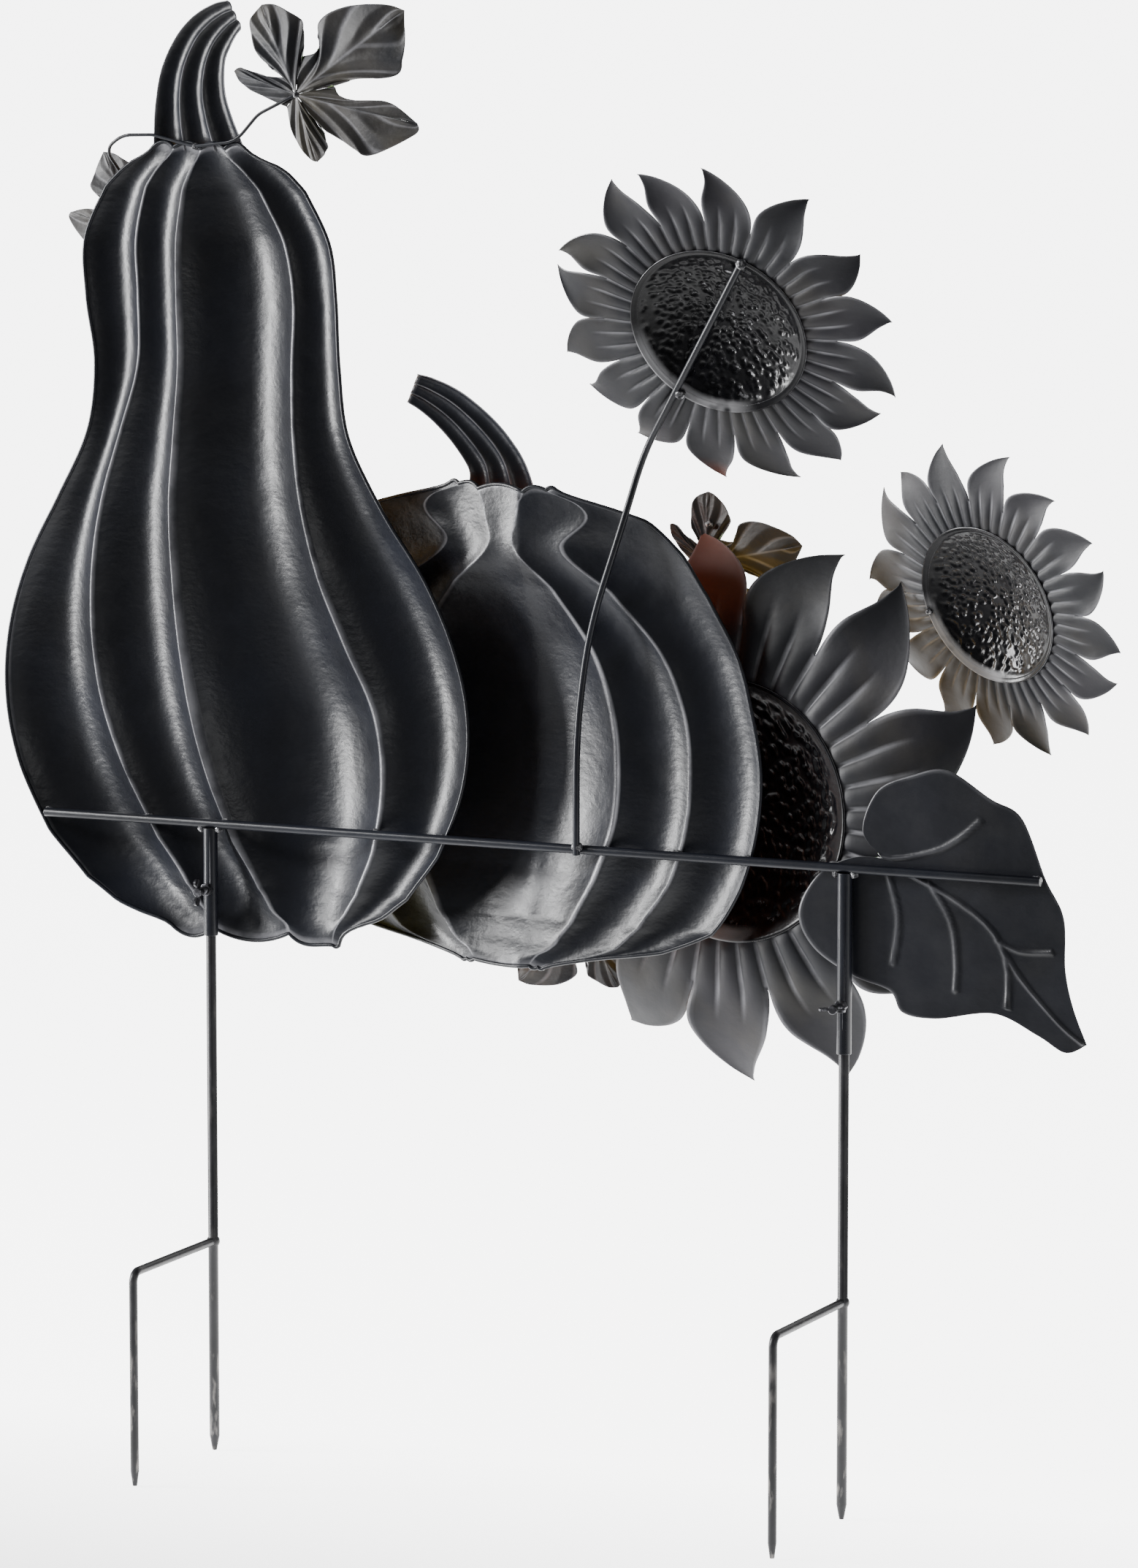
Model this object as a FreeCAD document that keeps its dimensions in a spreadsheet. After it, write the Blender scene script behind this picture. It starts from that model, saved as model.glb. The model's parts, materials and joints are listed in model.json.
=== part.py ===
import FreeCAD, Part
import Sketcher
import math
import os

from FreeCAD import Placement, Rotation, Vector

# Autumn garden stake display: a gourd, a pumpkin, three sunflowers and leaves pressed from sheet
# steel, welded in front of one cross bar. Two socket tubes under the bar take two spiked stakes,
# each held by a wing screw.
#
# Frame: millimetres, +X to the right as seen from the back, +Y towards the painted front, +Z up.
# Origin: on the left stake's axis, at the height of its foot step, which is ground level.

doc = FreeCAD.newDocument("garden_stake_display")

# ---------------------------------------------------------------------------------------------
# Driving dimensions
# ---------------------------------------------------------------------------------------------

DRIVING = [
    ("sheet_gauge", 0.8, "thickness of every pressed sheet"),
    ("bar_d", 8.0, "cross bar diameter"),
    ("bar_length", 952.0, "cross bar length"),
    ("bar_left", -166.0, "left end of the cross bar"),
    ("bar_height", 376.0, "cross bar axis above ground"),
    ("stake_spacing", 608.0, "left stake to right stake"),
    ("rod_d", 9.0, "stake rod diameter"),
    ("rod_top_gap", 1.0, "rod end to the underside of the bar"),
    ("spike_depth", 190.0, "rod below ground level"),
    ("tip_length", 13.0, "taper at each spike's end"),
    ("tip_d", 4.0, "blunt end of each spike"),
    ("step_d", 7.5, "foot step rod diameter"),
    ("step_reach", 150.0, "stake axis back to the second spike's axis"),
    ("step_bend", 9.0, "centre line radius of the step's bend"),
    ("collar_d", 12.0, "weld round the stake where the foot step meets it"),
    ("tube_wall", 1.2, "socket tube wall"),
    ("socket_clearance", 0.65, "radial gap between rod and socket tube"),
    ("left_tube_length", 96.0, "left socket tube"),
    ("right_tube_length", 156.0, "right socket tube"),
    ("screw_up", 42.0, "clamp screw axis above its tube's lower end"),
    ("screw_d", 6.0, "wing screw thread diameter"),
    ("screw_fit", 0.1, "radial gap between wing screw and nut"),
    ("screw_gap", 0.3, "screw end to rod"),
    ("screw_shank", 15.0, "wing screw thread length"),
    ("nut_across", 10.0, "nut across flats"),
    ("nut_thick", 5.0, "nut thickness outside the tube"),
    ("boss_d", 8.0, "wing screw boss diameter"),
    ("boss_length", 7.0, "wing screw boss length"),
    ("wing_span", 24.0, "across both wings"),
    ("wing_round", 4.6, "radius of a wing's lobe"),
    ("wing_thick", 2.0, "wing thickness"),
    ("gourd_width", 456.0, "gourd, across its belly"),
    ("gourd_tall", 703.0, "gourd, without its stem"),
    ("gourd_under_bar", 104.0, "gourd's underside below the bar axis"),
    ("pumpkin_width", 496.0, "pumpkin, across its belly"),
    ("pumpkin_tall", 420.0, "pumpkin, without its stem"),
    ("pumpkin_under_bar", 108.0, "pumpkin's underside below the bar axis"),
    ("pumpkin_gap", 12.0, "pumpkin's left side in front of the gourd's deepest lobe"),
    ("lobe_bulge", 0.29, "gourd lobe depth as a share of its width"),
    ("pumpkin_bulge", 0.2, "pumpkin lobe depth as a share of its width"),
    ("tube_relief", 7.0, "extra distance forward of the gourd's foot, past the tube"),
    ("low_bloom_r", 248.0, "large sunflower, centre to petal tip"),
    ("low_dish_r", 110.0, "large sunflower's seed dish"),
    ("top_bloom_r", 160.0, "upper sunflower, centre to petal tip"),
    ("top_dish_r", 75.0, "upper sunflower's seed dish"),
    ("side_bloom_r", 143.0, "right sunflower, centre to petal tip"),
    ("side_dish_r", 67.0, "right sunflower's seed dish"),
    ("flower_stem_d", 6.0, "upper sunflower's stem rod"),
    ("vine_d", 3.0, "vine wire"),
    ("bead_d", 9.0, "weld bead on the bar"),
    ("small_bead_d", 6.0, "weld bead between thin pieces"),
]

dims = doc.addObject("Spreadsheet::Sheet", "Dims")
for row, (alias, value, note) in enumerate(DRIVING, start=1):
    dims.set("A%d" % row, alias)
    dims.set("B%d" % row, str(value))
    dims.set("C%d" % row, note)
    dims.setAlias("B%d" % row, alias)
doc.recompute()


def dim(alias):
    """Value of one driving dimension."""
    return float(dims.get(alias))


GAUGE = dim("sheet_gauge")
BAR_Z = dim("bar_height")
RIM_Y = dim("bar_d") / 2
ROD_R = dim("rod_d") / 2
BORE_R = ROD_R + dim("socket_clearance")
TUBE_R = BORE_R + dim("tube_wall")
OUTWARD = Rotation(Vector(1, 0, 0), 90)      # turns local +Z to the back, -Y

made = []


def keep(obj, label):
    """Name a finished sub-part and remember it for export."""
    obj.Label = label
    made.append(obj)
    return obj


# ---------------------------------------------------------------------------------------------
# Small helpers
# ---------------------------------------------------------------------------------------------

def bind(obj, **expressions):
    """Bind properties to cells; a double underscore stands for a dot in the property's path."""
    for prop, expression in expressions.items():
        obj.setExpression(prop.replace("__", "."), expression)
    return obj


def primitive(kind, name, **expressions):
    return bind(doc.addObject("Part::" + kind, name), **expressions)


def boolean(kind, name, base, tool):
    obj = doc.addObject("Part::" + kind, name)
    obj.Base = base
    obj.Tool = tool
    return obj


def fuse(name, shapes):
    obj = doc.addObject("Part::MultiFuse", name)
    obj.Shapes = shapes
    return obj


def new_body(name):
    return doc.addObject("PartDesign::Body", name)


def sketch_on(body, role, name):
    plane = next(item for item in body.Origin.OriginFeatures if item.Role == role)
    sketch = body.newObject("Sketcher::SketchObject", name)
    sketch.AttachmentSupport = [(plane, "")]
    sketch.MapMode = "FlatFace"
    return sketch


def bound_circle(sketch, radius, centre=Vector(0, 0, 0), height=None):
    """Circle on the sketch's vertical axis; radius and height are expressions."""

    index = sketch.addGeometry(Part.Circle(centre, Vector(0, 0, 1), 1.0), False)
    sketch.setExpression("Constraints[%d]" % sketch.addConstraint(
        Sketcher.Constraint("Radius", index, 1.0)), radius)
    sketch.addConstraint(Sketcher.Constraint("PointOnObject", index, 3, -2))
    if height is None:
        sketch.addConstraint(Sketcher.Constraint("PointOnObject", index, 3, -1))
    else:
        sketch.setExpression("Constraints[%d]" % sketch.addConstraint(
            Sketcher.Constraint("DistanceY", -1, 1, index, 3, 1.0)), height)


def closed_profile(sketch, corners, arcs=()):
    """Closed outline through the corners; arcs maps a side's number to the point it bends through."""
    bends = dict(arcs)
    for side, start in enumerate(corners):
        end = corners[(side + 1) % len(corners)]
        if side in bends:
            sketch.addGeometry(Part.Arc(Vector(*start, 0), Vector(*bends[side], 0), Vector(*end, 0)))
        else:
            sketch.addGeometry(Part.LineSegment(Vector(*start, 0), Vector(*end, 0)))


def computed(name, shape, placement=None):
    """A shape worked out from the sheet's values where no ready feature fits."""
    obj = doc.addObject("Part::Feature", name)
    obj.Shape = shape
    if placement:
        obj.Placement = placement
    return obj


def bent_rod(points, radius, *bends):
    """Round rod along straight runs joined by tangent arcs; the last bend radius serves the rest."""
    edges = []
    start = points[0]
    for number, (before, corner, after) in enumerate(zip(points, points[1:], points[2:])):
        bend = bends[min(number, len(bends) - 1)]
        into, out = corner - before, after - corner
        half = into.getAngle(out) / 2
        reach = min(bend * math.tan(half), 0.45 * min(into.Length, out.Length))
        sagitta = reach / math.tan(half) * (1 - math.cos(half))
        into.normalize()
        out.normalize()
        inward = (out - into).normalize()
        first = corner - into * reach
        last = corner + out * reach
        middle = corner + inward * (reach * math.sin(half) - sagitta)
        edges.append(Part.LineSegment(start, first).toShape())
        edges.append(Part.Arc(first, middle, last).toShape())
        start = last
    edges.append(Part.LineSegment(start, points[-1]).toShape())
    along = (points[1] - points[0]).normalize()
    section = Part.Wire([Part.Circle(points[0], along, radius).toShape()])
    return Part.Wire(edges).makePipeShell([section], True, False)


def fluted_wire(ridges, bulges):
    """Closed outline of a fluted sheet: arcs between the ridges, bulging to +Y, one gauge thick."""
    skin = Vector(0, GAUGE, 0)
    rear = [Part.Arc(a, (a + b) / 2 + Vector(0, bulge, 0), b)
            for a, b, bulge in zip(ridges, ridges[1:], bulges)]
    front = [Part.Arc(b + skin, (a + b) / 2 + Vector(0, bulge, 0) + skin, a + skin)
             for a, b, bulge in zip(ridges, ridges[1:], bulges)]
    edges = [arc.toShape() for arc in rear]
    edges.append(Part.LineSegment(ridges[-1], ridges[-1] + skin).toShape())
    edges += [arc.toShape() for arc in reversed(front)]
    edges.append(Part.LineSegment(ridges[0] + skin, ridges[0]).toShape())
    return Part.Wire(edges)


def between(stations, height):
    """Values of a station list at a height, in straight proportion between its two neighbours."""
    for low, high in zip(stations, stations[1:]):
        if low[0] <= height <= high[0]:
            share = (height - low[0]) / (high[0] - low[0])
            return [a + share * (b - a) for a, b in zip(low, high)]
    raise ValueError("no station at height %g" % height)


# ---------------------------------------------------------------------------------------------
# Cross bar, socket tubes, clamp nuts, wing screws
# ---------------------------------------------------------------------------------------------

def cross_bar():
    bar = primitive("Cylinder", "CrossBar", Radius="Dims.bar_d / 2", Height="Dims.bar_length")
    bar.Placement = Placement(Vector(0, 0, 0), Rotation(Vector(0, 1, 0), 90))
    bind(bar, Placement__Base__x="Dims.bar_left", Placement__Base__z="Dims.bar_height")
    return keep(bar, "cross_bar")


TUBE_R_CELL = "(Dims.rod_d / 2 + Dims.socket_clearance + Dims.tube_wall)"
BORE_R_CELL = "(Dims.rod_d / 2 + Dims.socket_clearance)"
BAR_UNDERSIDE_CELL = "(Dims.bar_height - Dims.bar_d / 2)"


def socket_tube(side, across, length):
    """Tube welded under the bar, open below, with a hole for the clamp screw in its rear wall."""
    body = new_body(side + "Tube")
    ring = sketch_on(body, "XY_Plane", side + "TubeRing")
    bound_circle(ring, TUBE_R_CELL)
    bound_circle(ring, BORE_R_CELL)
    wall = body.newObject("PartDesign::Pad", side + "TubeWall")
    wall.Profile = ring
    bind(wall, Length=length)
    doc.recompute()
    solid_volume = wall.Shape.Volume
    drill = sketch_on(body, "XZ_Plane", side + "TubeDrill")
    bound_circle(drill, "Dims.screw_d / 2 + 2 * Dims.screw_fit", height="Dims.screw_up")
    hole = body.newObject("PartDesign::Pocket", side + "TubeHole")
    hole.Profile = drill
    bind(hole, Length=TUBE_R_CELL + " + 1")
    doc.recompute()
    if hole.Shape.Solids[0].CenterOfMass.y < 0:
        hole.Reversed = True
        doc.recompute()
    if not hole.Shape.Volume < solid_volume or hole.Shape.Solids[0].CenterOfMass.y <= 0:
        raise RuntimeError("the clamp screw's hole isn't in the tube's rear wall")
    bind(body, Placement__Base__x=across, Placement__Base__z=BAR_UNDERSIDE_CELL + " - " + length)
    return keep(body, side.lower() + "_socket_tube")


def clamp_nut(side, across, length):
    """Hexagon nut seated on the back of a socket tube, hollowed to the tube's round."""
    screw_z = "%s - %s + Dims.screw_up" % (BAR_UNDERSIDE_CELL, length)
    seat = "(%s - 1)" % TUBE_R_CELL
    block = primitive("Prism", side + "NutBlock", Circumradius="Dims.nut_across / 2 / cos(30)",
                      Height="Dims.nut_thick + 1")
    block.Placement = Placement(Vector(0, 0, 0), OUTWARD)
    bind(block, Placement__Base__x=across, Placement__Base__y="-" + seat, Placement__Base__z=screw_z)
    bore = primitive("Cylinder", side + "NutBore", Radius="Dims.screw_d / 2 + Dims.screw_fit",
                     Height="40")
    bore.Placement = Placement(Vector(0, 0, 0), OUTWARD)
    bind(bore, Placement__Base__x=across, Placement__Base__z=screw_z)
    saddle = primitive("Cylinder", side + "NutSaddle", Radius=TUBE_R_CELL, Height="60")
    bind(saddle, Placement__Base__x=across, Placement__Base__z=screw_z + " - 30")
    tools = fuse(side + "NutTools", [bore, saddle])
    return keep(boolean("Cut", side + "Nut", block, tools), side.lower() + "_clamp_nut")


def wing_screw(side, across, length, quarter_turn):
    """Thumb screw: thread, boss and two flat wings; its end stops just short of the stake rod."""
    body = new_body(side + "Screw")
    shank_r, shank = dim("screw_d") / 2, dim("screw_shank")
    boss_r, head = dim("boss_d") / 2, dim("screw_shank") + dim("boss_length")
    chamfer = 0.6
    turned = sketch_on(body, "XZ_Plane", side + "ScrewProfile")
    closed_profile(turned, [(0, 0), (shank_r - chamfer, 0), (shank_r, chamfer), (shank_r, shank),
                            (boss_r, shank), (boss_r, head - chamfer), (boss_r - chamfer, head),
                            (0, head)])
    spin = body.newObject("PartDesign::Revolution", side + "ScrewTurned")
    spin.Profile = turned
    spin.ReferenceAxis = (turned, ["V_Axis"])
    spin.Angle = 360
    outline = sketch_on(body, "XZ_Plane", side + "WingOutline")
    reach = dim("wing_span") / 2 - dim("wing_round")
    lift = shank + dim("boss_length") * 0.55
    waist = 1.6
    for hand in (1, -1):
        closed_profile(outline,
                       [(hand * (boss_r - 1), lift - waist), (hand * reach, lift - waist),
                        (hand * reach, lift + 2 * dim("wing_round") - waist),
                        (hand * (boss_r - 1), lift + waist)],
                       [(1, (hand * dim("wing_span") / 2, lift + dim("wing_round") - waist))])
    wings = body.newObject("PartDesign::Pad", side + "Wings")
    wings.Profile = outline
    wings.Midplane = True
    bind(wings, Length="Dims.wing_thick")
    turn = OUTWARD.multiply(Rotation(Vector(0, 0, 1), quarter_turn))
    body.Placement = Placement(Vector(0, 0, 0), turn)
    bind(body, Placement__Base__x=across,
         Placement__Base__y="-(Dims.rod_d / 2 + Dims.screw_gap)",
         Placement__Base__z="%s - %s + Dims.screw_up" % (BAR_UNDERSIDE_CELL, length))
    return keep(body, side.lower() + "_wing_screw")


# ---------------------------------------------------------------------------------------------
# Stakes: a straight rod with a tapered spike, and a foot step bent down into a second spike
# ---------------------------------------------------------------------------------------------

def step_weld(name, across):
    """Round of weld metal about the stake's axis at ground level."""
    weld = primitive("Sphere", name, Radius="Dims.collar_d / 2")
    return bind(weld, Placement__Base__x=across)


def stake_rod(side, across):
    shaft = primitive("Cylinder", side + "Shaft", Radius="Dims.rod_d / 2",
                      Height=BAR_UNDERSIDE_CELL
                      + " - Dims.rod_top_gap + Dims.spike_depth - Dims.tip_length")
    bind(shaft, Placement__Base__x=across, Placement__Base__z="Dims.tip_length - Dims.spike_depth")
    tip = primitive("Cone", side + "RodTip", Radius1="Dims.tip_d / 2", Radius2="Dims.rod_d / 2",
                    Height="Dims.tip_length")
    bind(tip, Placement__Base__x=across, Placement__Base__z="-Dims.spike_depth")
    return keep(fuse(side + "Rod", [shaft, tip, step_weld(side + "RodWeld", across)]),
                side.lower() + "_stake_rod")


def stake_step(side, across):
    """The step leaves the rod at ground level, runs back, and bends down into the second spike."""
    body = new_body(side + "StepBar")
    reach, bend = dim("step_reach"), dim("step_bend")
    end = dim("spike_depth") - dim("tip_length")
    route = sketch_on(body, "YZ_Plane", side + "StepRoute")
    corner = bend * (1 - math.cos(math.radians(45)))
    route.addGeometry(Part.LineSegment(Vector(0, 0, 0), Vector(bend - reach, 0, 0)))
    route.addGeometry(Part.Arc(Vector(bend - reach, 0, 0), Vector(corner - reach, -corner, 0),
                               Vector(-reach, -bend, 0)))
    route.addGeometry(Part.LineSegment(Vector(-reach, -bend, 0), Vector(-reach, -end, 0)))
    section = sketch_on(body, "XZ_Plane", side + "StepSection")
    bound_circle(section, "Dims.step_d / 2")
    pipe = body.newObject("PartDesign::AdditivePipe", side + "StepPipe")
    pipe.Profile = section
    pipe.Spine = (route, ["Edge1", "Edge2", "Edge3"])
    bind(body, Placement__Base__x=across)
    tip = primitive("Cone", side + "StepTip", Radius1="Dims.tip_d / 2", Radius2="Dims.step_d / 2",
                    Height="Dims.tip_length")
    bind(tip, Placement__Base__x=across, Placement__Base__y="-Dims.step_reach",
         Placement__Base__z="-Dims.spike_depth")
    both = fuse(side + "StepBlank", [body, tip])
    rod = primitive("Cylinder", side + "StepNotch", Radius="Dims.rod_d / 2", Height="40")
    bind(rod, Placement__Base__x=across, Placement__Base__z="-20")
    notch = fuse(side + "StepNotches", [rod, step_weld(side + "StepWeld", across)])
    return keep(boolean("Cut", side + "Step", both, notch), side.lower() + "_stake_step")


# ---------------------------------------------------------------------------------------------
# Gourd and pumpkin: fluted pressings, hollow at the back, whose ridges lie against the bar
# ---------------------------------------------------------------------------------------------

# Each station of the gourd is its height above the underside, the five ridge lines from left to
# right (first and last are the rims), and how far its lobes are open there, 1 being fully.
GOURD_DRAWN = (456.0, 703.0)
GOURD_STATIONS = [
    (0, -45, -3, 72, 115, 121, 0.12),
    (13, -72, 0, 70, 118, 130, 0.40),
    (28, -97, -12, 58, 128, 163, 0.65),
    (48, -126, -26, 45, 141, 190, 0.85),
    (88, -164, -55, 20, 158, 221, 1.0),
    (148, -194, -88, -6, 167, 245, 1.0),
    (208, -206, -110, -23, 160, 250, 1.0),
    (268, -202, -119, -33, 132, 237, 1.0),
    (328, -183, -118, -39, 105, 209, 1.0),
    (388, -151, -108, -41, 89, 168, 1.0),
    (448, -121, -89, -36, 82, 136, 1.0),
    (508, -113, -71, -31, 81, 127, 1.0),
    (568, -121, -70, -32, 83, 124, 1.0),
    (618, -122, -72, -32, 74, 118, 1.0),
    (663, -101, -62, -25, 50, 94, 0.85),
    (688, -76, -46, -15, 27, 66, 0.60),
    (703, -56, -36, -10, 14, 34, 0.30),
]

# The pumpkin is drawn about its own middle: height, then the inner, second and outer ridge lines
# on each side, then how far its lobes are open. They pinch together at the stem's dimple.
PUMPKIN_DRAWN = (496.0, 420.0)
PUMPKIN_STATIONS = [
    (0, 30, 38, 44, 0.12),
    (12, 42, 84, 94, 0.35),
    (22, 54, 112, 155, 0.55),
    (42, 70, 134, 203, 0.80),
    (82, 92, 162, 229, 1.0),
    (132, 111, 178, 244, 1.0),
    (182, 115, 182, 248, 1.0),
    (232, 109, 176, 240, 1.0),
    (282, 90, 154, 226, 1.0),
    (332, 52, 106, 198, 0.95),
    (367, 14, 56, 174, 0.80),
    (394, 17, 92, 142, 0.60),
    (408, 20, 74, 88, 0.45),
    (420, 24, 46, 56, 0.30),
]


def stretched(stations, drawn, width, tall, base):
    """Stations at real size: heights above ground, ridge lines in millimetres, opening."""
    across, up = width / drawn[0], tall / drawn[1]
    return [[base + row[0] * up] + [x * across for x in row[1:-1]] + [row[-1]] for row in stations]


GOURD = stretched(GOURD_STATIONS, GOURD_DRAWN, dim("gourd_width"), dim("gourd_tall"),
                  BAR_Z - dim("gourd_under_bar"))
GOURD_RIGHT = max(row[5] for row in GOURD)
GOURD_DEPTH = dim("lobe_bulge") * max(row[4] - row[3] for row in GOURD)
GOURD_TOP = GOURD[-1][0]

PUMPKIN_HALF = stretched(PUMPKIN_STATIONS, PUMPKIN_DRAWN, dim("pumpkin_width"),
                         dim("pumpkin_tall"), BAR_Z - dim("pumpkin_under_bar"))
PUMPKIN_X = GOURD_RIGHT + 0.06 * dim("pumpkin_width")
PUMPKIN_RIGHT = PUMPKIN_X + dim("pumpkin_width") / 2
PUMPKIN_TOP = PUMPKIN_HALF[-1][0]


def pumpkin_row(row):
    """One pumpkin station as height, six ridge lines from left to right, opening."""
    return ([row[0]] + [PUMPKIN_X - half for half in reversed(row[1:4])]
            + [PUMPKIN_X + half for half in row[1:4]] + [row[4]])


PUMPKIN = [pumpkin_row(row) for row in PUMPKIN_HALF]


def past_right_tube(across):
    """How far a rim that comes near the right socket tube moves forward to pass it."""
    near = max(1 - abs(across - dim("stake_spacing")) / (4 * TUBE_R), 0.0)
    return near * 1.5 * (TUBE_R + 1.0 - RIM_Y)


def pumpkin_rear(across):
    """Depth of the pumpkin's ridges: on the bar at the right, in front of the gourd at the left."""
    start, span = PUMPKIN_X + 0.04 * dim("pumpkin_width"), 0.4 * dim("pumpkin_width")
    share = min(max((start - across) / span, 0.0), 1.0)
    return RIM_Y + share * (GOURD_DEPTH + dim("pumpkin_gap")) + past_right_tube(across)


def gourd_rear(opening):
    """Depth of the gourd's ridges: against the bar where the lobes are fully open."""
    return RIM_Y + dim("tube_relief") * (1 - opening)


GOURD_TOP_REAR = gourd_rear(GOURD[-1][-1])


def gourd_body():
    sections = []
    for height, *lines, opening in GOURD:
        rear = gourd_rear(opening)
        ridges = [Vector(x, rear, height) for x in lines]
        bulges = [max(dim("lobe_bulge") * opening * (b - a), 0.3)
                  for a, b in zip(lines, lines[1:])]
        sections.append(fluted_wire(ridges, bulges))
    return keep(computed("GourdBody", Part.makeLoft(sections, True, False)), "gourd_body")


def pumpkin_bulges(lines, opening):
    return [max(dim("pumpkin_bulge") * opening * (b - a), 0.3) for a, b in zip(lines, lines[1:])]


def pumpkin_body():
    sections = []
    for height, *lines, opening in PUMPKIN:
        ridges = [Vector(x, pumpkin_rear(x), height) for x in lines]
        sections.append(fluted_wire(ridges, pumpkin_bulges(lines, opening)))
    return keep(computed("PumpkinBody", Part.makeLoft(sections, True, False)), "pumpkin_body")


def fluted_stem(stations, flutes, depth, rear):
    """Curved stem pressing: each station is its centre (x, z), its lean from upright and width."""
    sections = []
    for centre_x, centre_z, lean, width in stations:
        tilt = math.radians(lean)
        across = Vector(math.cos(tilt), 0, -math.sin(tilt))
        middle = Vector(centre_x, rear, centre_z)
        ridges = [middle + across * (width * (index / flutes - 0.5)) for index in range(flutes + 1)]
        sections.append(fluted_wire(ridges, [depth * width / flutes] * flutes))
    return Part.makeLoft(sections, True, False)


def gourd_stem():
    foot = (GOURD[-1][1] + GOURD[-1][5]) / 2
    rise = [(0, 0, 0, 86), (-7, 30, -2, 72), (-6, 58, 8, 62), (3, 83, 26, 51), (17, 100, 44, 41),
            (35, 113, 62, 27)]
    stations = [(foot + x, GOURD_TOP + z, lean, width) for x, z, lean, width in rise]
    return keep(computed("GourdStem", fluted_stem(stations, 3, 0.3, GOURD_TOP_REAR)),
                "gourd_stem")


STEM_FOOT = Vector(PUMPKIN_X - 11, 0, PUMPKIN_TOP - 34)


def pumpkin_stem():
    """Stem of the pumpkin, standing in the dimple in front of the pressing's top edge."""
    rear = pumpkin_rear(STEM_FOOT.x - 45) + 6
    rise = [(0, 0, 0, 70), (-1, 28, -6, 62), (-8, 52, -24, 50), (-28, 76, -46, 43),
            (-54, 97, -58, 36), (-86, 113, -68, 26)]
    stations = [(STEM_FOOT.x + x, STEM_FOOT.z + z, lean, width) for x, z, lean, width in rise]
    return keep(computed("PumpkinStem", fluted_stem(stations, 3, 0.3, rear)), "pumpkin_stem")


# ---------------------------------------------------------------------------------------------
# Sunflowers: a cupped ring of petals, and a seed dish whose flange lies behind the ring
# ---------------------------------------------------------------------------------------------

def facing(centre, turned_right, tipped_up):
    """Placement of a flower: local Z points out of its front, local X to its right side."""
    turn = Rotation(Vector(0, 0, 1), -turned_right)
    turn = turn.multiply(Rotation(Vector(1, 0, 0), tipped_up - 90))
    return Placement(centre, turn)


def on_flower(place, angle, radius, forward=0.0):
    """Point of a flower; the angle runs anticlockwise from its right side, seen from the back."""
    theta = math.radians(angle)
    return place.multVec(Vector(radius * math.cos(theta), -radius * math.sin(theta), forward))


def polar(radius, angle):
    return (radius * math.cos(angle), radius * math.sin(angle))


FLAT_PAST_DISH = 8.0


def petal_ring(name, label, place, petals, first_angle, tip_r, dish_r, cup):
    body = new_body(name)
    flat_r = dish_r + FLAT_PAST_DISH
    middle_r = (flat_r + tip_r) / 2
    profile = sketch_on(body, "XZ_Plane", name + "Section")
    closed_profile(profile,
                   [(dish_r, 0), (flat_r, 0), (tip_r, cup), (tip_r, cup + GAUGE),
                    (flat_r, GAUGE), (dish_r, GAUGE)],
                   [(1, (middle_r, cup * 0.3)), (3, (middle_r, cup * 0.3 + GAUGE))])
    blank = body.newObject("PartDesign::Revolution", name + "Blank")
    blank.Profile = profile
    blank.ReferenceAxis = (profile, ["V_Axis"])
    blank.Angle = 360
    doc.recompute()
    blank_volume = blank.Shape.Volume

    half = math.pi / petals
    middle = -math.radians(first_angle) + half
    blunt = 1.5 / tip_r
    valley_r = dish_r + 0.42 * (tip_r - dish_r)
    bulge_r = dish_r + 0.74 * (tip_r - dish_r)
    outer_r = (tip_r + 6) / math.cos(half)
    spread, narrow = half - blunt, 0.34 * half
    gap = sketch_on(body, "XY_Plane", name + "Gap")
    closed_profile(gap,
                   [polar(valley_r, middle), polar(tip_r, middle + spread),
                    polar(outer_r, middle + spread), polar(outer_r, middle - spread),
                    polar(tip_r, middle - spread)],
                   [(0, polar(bulge_r, middle + narrow)), (4, polar(bulge_r, middle - narrow))])
    cut = body.newObject("PartDesign::Pocket", name + "GapCut")
    cut.Profile = gap
    cut.Midplane = True
    cut.Length = 2 * cup + 30
    doc.recompute()
    if not cut.Shape.Volume < blank_volume:
        raise RuntimeError(name + ": the gap between two petals cut nothing")
    ring = body.newObject("PartDesign::PolarPattern", name + "Gaps")
    ring.Originals = [cut]
    ring.Axis = (gap, ["N_Axis"])
    ring.Angle = 360
    ring.Occurrences = petals
    body.Tip = ring
    body.Placement = place
    return keep(body, label)


def seed_dish(name, label, place, dish_r, depth):
    body = new_body(name)
    bowl_r, flange_r = dish_r - 0.6, dish_r + 4
    sphere_r = (bowl_r ** 2 + depth ** 2) / (2 * depth)
    half_r = 0.6 * bowl_r
    half_z = depth - sphere_r + math.sqrt(sphere_r ** 2 - half_r ** 2)
    profile = sketch_on(body, "XZ_Plane", name + "Section")
    closed_profile(profile,
                   [(0, depth - GAUGE), (bowl_r, -GAUGE), (flange_r, -GAUGE), (flange_r, 0),
                    (bowl_r, 0), (0, depth)],
                   [(0, (half_r, half_z - GAUGE)), (4, (half_r, half_z))])
    spun = body.newObject("PartDesign::Revolution", name + "Spun")
    spun.Profile = profile
    spun.ReferenceAxis = (profile, ["V_Axis"])
    spun.Angle = 360
    body.Placement = place
    return keep(body, label)


LOW_BLOOM = facing(Vector(PUMPKIN_RIGHT - 38,
                          RIM_Y + 0.5 * dim("pumpkin_bulge") * dim("pumpkin_width") * 0.51,
                          BAR_Z + 38), 8, 0)
TOP_BLOOM = facing(Vector(PUMPKIN_RIGHT - 14, -55, BAR_Z + 457), 0, 27)

LOW_PETALS, LOW_FIRST = 13, 19
LOW_CURL_R = 187.8
LOW_CUP = (dim("low_bloom_r") - dim("low_dish_r") - FLAT_PAST_DISH) ** 2 / (2 * LOW_CURL_R)


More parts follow.
